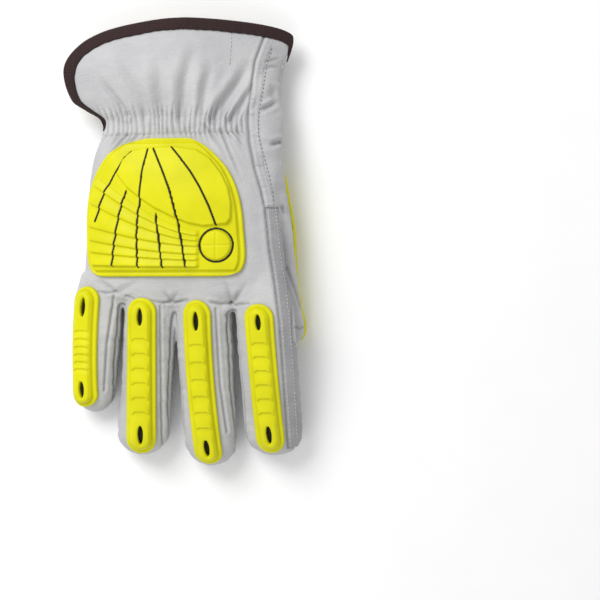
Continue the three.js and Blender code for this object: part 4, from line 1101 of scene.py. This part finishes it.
def build_guard(name, tube, line, length, width, scales):
    half = width / 2
    slot_end = SLOT_MIDDLE + SLOT_HALF + 0.6
    end_pad = 23.0
    pitch = (length - 2 * end_pad) / (scales - 1)

    def outline(v):
        into = min(max(min(v, length - v), 0), half)
        return max(np.sqrt(half**2 - (half - into) ** 2), 0.35)

    def columns_at(v):
        c = max(slot_half(v, length), 0.12)
        wide = outline(v)
        c = min(c, wide * 0.5)
        side = np.concatenate([np.linspace(0, 0.3, 6)[:-1], np.linspace(0.3, 1, 14)])
        left = -wide + side * (wide - c)
        return np.concatenate([left, -left[::-1]])

    def locate(across, along, lift):
        found = np.zeros((*across.shape, 3))
        for j in range(len(across)):
            v = along[j, 0]
            angle, y = line(v / length)
            angles = arc_walk(tube, angle, y, across[j])
            normals = tube.normal(angles, np.full(len(angles), y))
            found[j] = tube.point(angles, y) + normals * lift[j][:, None]
        found[..., 2] = np.maximum(found[..., 2], 0.05)
        return found

    def edge_distance(across, along):
        into = np.minimum(along, length - along)
        straight = half - np.abs(across)
        round_end = half - np.hypot(across, half - into)
        return np.where(into < half, np.minimum(straight, round_end), straight)

    def high(across, along):
        e = np.maximum(edge_distance(across, along), 0)
        rise = 1.9 * np.sqrt(np.clip(1 - (1 - np.clip(e / 0.9, 0, 1)) ** 2, 0, 1))
        groove = -0.4 * np.exp(-(((e - 2.3) / 0.4) ** 2))
        body = 1.6 * smooth(e, 2.4, 3.3) + 1.1 * smooth(e, 3.3, 4.6)
        run = (along - 0.9 * np.maximum(np.abs(across) - 2.3, 0) - end_pad) / pitch + 1
        saw = np.mod(run, 1.0)
        fall = 1 - smooth(saw, 0.03, 0.86) * (1 - smooth(saw, 0.91, 0.99))
        fall = np.where(run < 1, smooth(run, 0.91, 0.99), fall)
        fall = np.where(run > scales, 1 - smooth(run - scales, 0.0, 0.7), fall)
        relief = 0.85 * fall * smooth(e, 3.7, 4.5)
        slot = np.array([[slot_half(v, length) for v in row[:1]] for row in along])
        lip = np.where(slot > 0, 0.6 * np.exp(-np.maximum(np.abs(across) - slot, 0) / 0.4), 0.0)
        return GUARD_LIFT - 0.2 + rise + groove + body - relief - lip

    def low(across, along):
        e = edge_distance(across, along)
        return np.where(e > 1.9, GUARD_LIFT + 1.0, GUARD_LIFT - 0.25)

    fine = np.concatenate([np.linspace(0, 4, 22)[:-1], np.linspace(4, slot_end, 26)[:-1],
                           np.linspace(slot_end, length - slot_end, int(2.6 * (length - 2 * slot_end)))[:-1],
                           np.linspace(length - slot_end, length - 4, 26)[:-1], np.linspace(length - 4, length, 22)])
    obj = moulding(f"guard_{name}_rubber", columns_at, fine, locate, low, high,
                   lambda v: slot_half(v, length) > 0.0, RUBBER)
    finish_piece(obj, [f"guard_{name}"])

    def inner_columns(v):
        wide = max(min(outline(v), half) - 2.6, 0.3)
        return np.linspace(-wide, wide, 8)

    rows = np.linspace(2.9, length - 2.9, 40)
    backing = moulding(f"backing_{name}_cloth", inner_columns, rows, locate,
                       lambda a, b: 0 * a + GUARD_LIFT - 0.2, lambda a, b: 0 * a + GUARD_LIFT + 0.7,
                       lambda v: False, BLACK)
    finish_piece(backing, [f"backing_{name}"])


for finger, (places, width, scales) in GUARDS.items():
    tube = fingers[finger]

    def line(t, tube=tube, places=places):
        px, py = guard_curve(places, np.clip(t, 0, 1))
        return float(tube.angle_at(px, py)), float(py)

    spots = np.array([tube.point(*line(t)) for t in (0, 0.25, 0.5, 0.75, 1)])
    length = float(np.linalg.norm(np.diff(spots, axis=0), axis=1).sum())
    build_guard(finger, tube, line, length, width, scales)

y0, y1, width, scales = THUMB_GUARD
build_guard("thumb", thumb, lambda t: (thumb_turn(t), (y0 + (y1 - y0) * t) * THUMB_LENGTH),
            (y0 - y1) * THUMB_LENGTH, width, scales)

# The back plate: its outline, its raised crown, the ribs that sweep to the boss, and the slits.
CROWN = line_of(
    (128, 160), (121.3, 176), (131.3, 189.7), (143.6, 199.5), (159, 210), (175, 218), (191.6, 224.8),
    (206, 227.9), (229, 226.3), (232.8, 221), (232.9, 206), (229.6, 190.8), (222.9, 177.4), (211.7, 162.5),
    (198.3, 154), (176, 150.5), (150, 151.5), (137, 154))
SLITS = [line_of(*line) for line in (
    ((134.7, 155), (126.9, 163), (119, 175.7), (109.6, 194.2), (104.6, 209.8), (101.2, 221.5)),
    ((130.4, 192.5), (126.3, 207.5), (123, 221), (120.4, 236.6), (118.5, 247.7), (116.8, 265.6)),
    ((151.8, 153.8), (147, 174), (144.2, 200.8), (142.5, 217.6), (141.4, 235.4), (142, 267.3)),
    ((157.2, 152.9), (165.9, 173), (173.8, 193), (180.4, 217.6), (184.9, 238.8), (189.2, 266.7)),
    ((159.8, 215.4), (162.6, 235.4), (166.3, 267.3)),
    ((174.3, 151.5), (183.8, 163), (193.8, 176.3), (202.8, 190.8), (211.7, 208.7), (218.7, 226.7)))]
SLIT_HALF = 0.3
BOSS = photo(218.7, 246.2)
BOSS_RADIUS = 8.6
RIB_LEFT = np.array([168, 181, 202, 227, 240, 252, 265.5])
RIB_RIGHT = np.array([231, 237, 242, 247, 255, 260.5, 267])


def inside_distance(p, outline):
    """Signed distance in plan to a closed outline: positive inside."""
    points = np.array(outline, float)
    d = line_distance(p, np.concatenate([points, points[:1]]))
    inside = np.zeros(len(p), bool)
    for (x0, y0), (x1, y1) in zip(points, np.roll(points, -1, 0)):
        crosses = (y0 > p[:, 1]) != (y1 > p[:, 1])
        with np.errstate(divide="ignore", invalid="ignore"):
            at = x0 + (p[:, 1] - y0) * (x1 - x0) / (y1 - y0)
        inside ^= crosses & (p[:, 0] < at)
    return np.where(inside, d, -d)


def slit_distance(p):
    return np.min([line_distance(p, s) for s in SLITS], axis=0)


def plate_height(x, y, e):
    """The plate's height at plan places, e inside its outline, and how deep the slits cut there, 0 to 1."""
    p = np.stack([x.ravel(), y.ravel()], 1)
    e = e.ravel()
    rise = 2.0 * np.sqrt(np.clip(1 - (1 - np.clip(e / 1.1, 0, 1)) ** 2, 0, 1))
    inside = inside_distance(p, CROWN)
    crown = smooth(inside, -0.4, 0.9) * (2.3 + 0.6 * smooth(inside, 0, 14)) * (e > 0)
    row = PICTURE_ROW - p[:, 1] / PICTURE_STEP
    column = PICTURE_COLUMN + p[:, 0] / PICTURE_STEP
    bend = 1 - (1 - np.clip((column - 92) / 110, 0, 1)) ** 1.6
    lines = RIB_LEFT[:, None] + (RIB_RIGHT - RIB_LEFT)[:, None] * bend[None, :]
    rib = np.zeros(len(p))
    for a, b in zip(lines[:-1], lines[1:]):
        rib += np.clip((row - a) / (b - a), 0, 1)
    field = smooth(column, 92, 96) * (1 - smooth(column, 199, 203))
    field *= smooth(rib, 0, 0.12) * (1 - smooth(rib, 5.92, 6)) * smooth(e, 2.2, 3.4)
    saw = np.mod(rib, 1.0)
    ribs = field * (0.7 + 1.25 * smooth(saw, 0.0, 0.85) * (1 - smooth(saw, 0.9, 1.0)))
    flange = 1.7 * smooth(e, 3.0, 4.2) - 0.35 * np.exp(-(((e - 2.4) / 0.5) ** 2))
    out = np.hypot(p[:, 0] - BOSS[0], p[:, 1] - BOSS[1])
    boss = smooth(BOSS_RADIUS - out, 0, 1.2) * (1.1 + 1.3 * np.sqrt(np.clip(1 - (out / 9.5) ** 2, 0, 1)))
    cross = np.exp(-(((p[:, 0] - BOSS[0]) / 0.4) ** 2)) + np.exp(-(((p[:, 1] - BOSS[1]) / 0.4) ** 2))
    boss -= 0.5 * np.clip(cross, 0, 1) * (out < BOSS_RADIUS - 1)
    total = rise + flange + np.maximum(crown, ribs) + boss
    groove = 1 - smooth(slit_distance(p), SLIT_HALF - 0.08, SLIT_HALF + 0.12)
    groove = np.maximum(groove, 1 - smooth(np.abs(out - BOSS_RADIUS - 0.45), 0.22, 0.42))
    return total.reshape(x.shape), groove.reshape(x.shape)


def closed_sheet(top, bottom):
    """Verts and faces of a closed sheet between two grids of points."""
    rows, cols = top.shape[:2]
    total = rows * cols
    faces = grid_faces(rows, cols) + [f[::-1] for f in grid_faces(rows, cols, total)]
    rim = [j * cols for j in range(rows)] + [(rows - 1) * cols + i for i in range(1, cols)]
    rim += [j * cols + cols - 1 for j in range(rows - 2, -1, -1)] + list(range(cols - 2, 0, -1))
    faces += [[a, b, b + total, a + total] for a, b in zip(rim, rim[1:] + rim[:1])]
    return np.concatenate([top.reshape(-1, 3), bottom.reshape(-1, 3)]), faces


def plate_grid(rows, cols):
    along = np.linspace(0, 1, rows)
    along = along - 0.5
    along = np.sign(along) * np.abs(along * 2) ** 0.93 / 2 + 0.5
    y = PLATE_FROM * HAND_REACH - along * PLATE_LENGTH
    left, right = PLATE(along)
    share = np.linspace(0, 1, cols)
    px = left[:, None] * PALM_WIDTH + (right - left)[:, None] * PALM_WIDTH * share[None, :]
    return px, np.broadcast_to(y[:, None], px.shape)


def plate_surface(px, py, lift):
    """Points over the smooth back of the hand at plan places, raised along its normal."""
    found = np.zeros((*px.shape, 3))
    for j in range(px.shape[0]):
        y = py[j, 0]
        left, right = (float(hand.angle_at(v, y)) for v in (px[j, 0], px[j, -1]))
        share = (px[j] - px[j, 0]) / (px[j, -1] - px[j, 0])
        angles = left + (right - left) * share
        found[j] = hand.point(angles, y) + hand.normal(angles, np.full(len(angles), y)) * lift[j][:, None]
    return found


rows, cols = 196, 240
px, py = plate_grid(rows, cols)
placed = plate_surface(px, py, np.zeros(px.shape))
margin = plate_margin(placed[..., 0].ravel(), py.ravel()).reshape(px.shape)
body, cut = plate_height(placed[..., 0], py, np.maximum(margin, 0))
raised = plate_surface(px, py, PLATE_LIFT - 0.3 + body * (1 - cut) + 1.5 * cut)
low = plate_surface(px, py, np.where(margin > 2.0, PLATE_LIFT + 1.0, PLATE_LIFT - 0.5))
plate = new_object("back_guard_rubber", *closed_sheet(raised, low), RUBBER)
finish_piece(tidy_faces(plate), ["back_guard"])


def plate_ribbon(points, half):
    """A black ribbon that fills a slit to its brim: verts and faces of a thin closed strip."""
    fine = np.array(points, float)
    for _ in range(4):
        near, far = 0.75 * fine[:-1] + 0.25 * fine[1:], 0.25 * fine[:-1] + 0.75 * fine[1:]
        fine = np.concatenate([fine[:1], np.stack([near, far], 1).reshape(-1, 2), fine[-1:]])
    ahead = np.gradient(fine, axis=0)
    side = np.stack([-ahead[:, 1], ahead[:, 0]], 1)
    side /= np.linalg.norm(side, axis=1, keepdims=True)
    out = []
    for offset, top in ((-half, False), (half, False), (half, True), (-half, True)):
        at = fine + side * offset
        margin = np.maximum(plate_margin(at[:, 0], at[:, 1]), 0)
        brim = PLATE_LIFT - 0.3 + plate_height(at[:, 0], at[:, 1], margin)[0] + 0.04
        lift = brim if top else PLATE_LIFT + 1.3 + 0 * brim
        angle = hand.angle_at(at[:, 0], at[:, 1])
        out.append(hand.point(angle, at[:, 1]) + hand.normal(angle, at[:, 1]) * lift[:, None])
    verts = np.stack(out, 1).reshape(-1, 3)
    n = len(fine)
    faces = [[j * 4 + i, j * 4 + (i + 1) % 4, (j + 1) * 4 + (i + 1) % 4, (j + 1) * 4 + i]
             for j in range(n - 1) for i in range(4)]
    return verts, faces + [[0, 1, 2, 3], [4 * n - 1, 4 * n - 2, 4 * n - 3, 4 * n - 4]]


gx, gy = np.meshgrid(np.linspace(0.07, 0.93, 30), np.linspace(0.07, 0.93, 26))
by = PLATE_FROM * HAND_REACH - gy * PLATE_LENGTH
left, right = PLATE(gy)
bx = (left + (right - left) * gx) * PALM_WIDTH
pieces = [closed_sheet(*(plate_surface(bx, by, np.full(bx.shape, PLATE_LIFT + h)) for h in (0.75, 0.0)))]
for slit in SLITS:
    pieces.append(plate_ribbon(slit, 0.4))
circle = [(BOSS[0] + (BOSS_RADIUS + 0.45) * np.cos(a), BOSS[1] + (BOSS_RADIUS + 0.45) * np.sin(a))
          for a in np.radians(np.linspace(0, 359, 40))]
pieces.append(plate_ribbon(circle, 0.45))
verts_all, faces_all, count = [], [], 0
for v, f in pieces:
    verts_all.append(v)
    faces_all += [[k + count for k in face] for face in f]
    count += len(v)
backing = new_object("backing_back_cloth", np.concatenate(verts_all), faces_all, BLACK, False)
finish_piece(tidy_faces(backing), ["backing_back"])

# Stitches along the seams, laid on the finished leather.
leather_verts, leather_tris, count = [], [], 0
for d, t in panels.values():
    leather_verts.append(d[:, :3])
    leather_tris.append(t + count)
    count += len(d)
tree = BVHTree.FromPolygons(np.concatenate(leather_verts).tolist(), np.concatenate(leather_tris).tolist())


def stitch_row(points, pitch, verts, faces, down=True, radius=0.24):
    """Adds small thread stitches along a plan line, on the leather seen from above or from below."""
    points = np.array(points, float)
    seg = np.linalg.norm(np.diff(points, axis=0), axis=1)
    total = seg.sum()
    reach = np.concatenate([[0], np.cumsum(seg)])
    places = np.arange(0.3, total - 0.3, pitch)
    for s in places:
        ends = []
        for at in (s, s + pitch * 0.62):
            q = [float(np.interp(at, reach, points[:, k])) for k in range(2)]
            hit = tree.ray_cast(Vector((*q, 90.0 if down else -30.0)), Vector((0, 0, -1.0 if down else 1.0)))
            if hit[0] is None:
                break
            ends.append((hit[0], hit[1]))
        if len(ends) < 2 or (ends[0][0] - ends[1][0]).length > 3 * pitch:
            continue
        (a, na), (b, _) = ends
        n = na.normalized()
        if n.z * (1 if down else -1) < 0:
            n.negate()
        ahead = (b - a).normalized()
        side = ahead.cross(n)
        base = len(verts)
        for t in (0.0, 0.15, 0.5, 0.85, 1.0):
            r = radius * (0.35 if t in (0.0, 1.0) else 1.0)
            lift = -0.10 if t in (0.0, 1.0) else 0.12
            centre = a.lerp(b, t) + n * lift
            for k in range(6):
                angle = np.pi * k / 3
                verts.append(tuple(centre + side * (r * np.cos(angle)) + n * (r * np.sin(angle))))
        for j in range(4):
            for k in range(6):
                faces.append([base + j * 6 + k, base + j * 6 + (k + 1) % 6, base + (j + 1) * 6 + (k + 1) % 6,
                              base + (j + 1) * 6 + k])
        faces.append([base + k for k in range(5, -1, -1)])
        faces.append([base + 24 + k for k in range(6)])


def shifted(line, dx):
    return [(x * PALM_WIDTH + dx, y * HAND_REACH) for x, y in line]


BACK_ROW = line_of((272, 48), (266.5, 65), (263.3, 90), (258.8, 116), (258.4, 135), (263.3, 155),
                   (269, 175.6), (273.2, 195), (274.1, 207.5))
STRIP_END = line_of((266, 208), (280, 208.5))
ELASTIC_ROW = line_of((120, 134.5), (160, 135.5), (200, 135.5), (242, 134))
dark_rows = [(BACK_ROW, 2.3, True), (shifted(PALM_SEAM, -1.8), 2.4, False)]
pale_rows = [(shifted(STRIP_LEFT, 1.6), 2.1, True), (shifted(STRIP_LEFT, 5.6), 2.1, True), (STRIP_END, 2.0, True),
             (ELASTIC_ROW, 2.6, True)]
for name, skin, stitch_rows in (("stitches_dark", DARK_THREAD, dark_rows),
                                ("stitches_pale", PALE_THREAD, pale_rows)):
    thread_verts, thread_faces = [], []
    for points, pitch, down in stitch_rows:
        stitch_row(points, pitch, thread_verts, thread_faces, down)
    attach(new_object(name, thread_verts, thread_faces, skin), "root")

# The floor, the light and the camera.
FLOOR_HALF = 3000
corners = [(sx * FLOOR_HALF, sy * FLOOR_HALF, 0) for sx, sy in ((-1, -1), (1, -1), (1, 1), (-1, 1))]
floor = new_object("floor", corners, [[0, 1, 2, 3]], PAPER)


def area_light(name, place, size, power, target=(0.0, 0.0, 0.0)):
    light = bpy.data.lights.new(name, "AREA")
    light.energy = power
    light.size = size
    obj = bpy.data.objects.new(name, light)
    obj.location = place
    obj.rotation_euler = (Vector(target) - Vector(place)).to_track_quat("-Z", "Y").to_euler()
    bpy.context.scene.collection.objects.link(obj)


area_light("key", (-0.54, 0.62, 0.93), 0.65, 10.5)
area_light("fill", (-0.2, -0.5, 0.7), 0.5, 1.2)
world = bpy.data.worlds.new("world")
world.use_nodes = True
world.node_tree.nodes["Background"].inputs["Color"].default_value = (1, 1, 1, 1)
world.node_tree.nodes["Background"].inputs["Strength"].default_value = 0.6
bpy.context.scene.world = world
bpy.context.scene.view_settings.view_transform = "Standard"

camera = bpy.data.cameras.new("camera")
camera.type = "PERSP"
LENS, SENSOR, VIEW_WIDTH = 100, 36, 0.3378
camera.lens = LENS
camera.sensor_width = SENSOR
eye = bpy.data.objects.new("camera", camera)
distance = VIEW_WIDTH * LENS / SENSOR
eye.location = (0.0647, -0.0282, distance + 0.02)
eye.rotation_euler = (0, 0, 0)
bpy.context.scene.collection.objects.link(eye)
bpy.context.scene.camera = eye
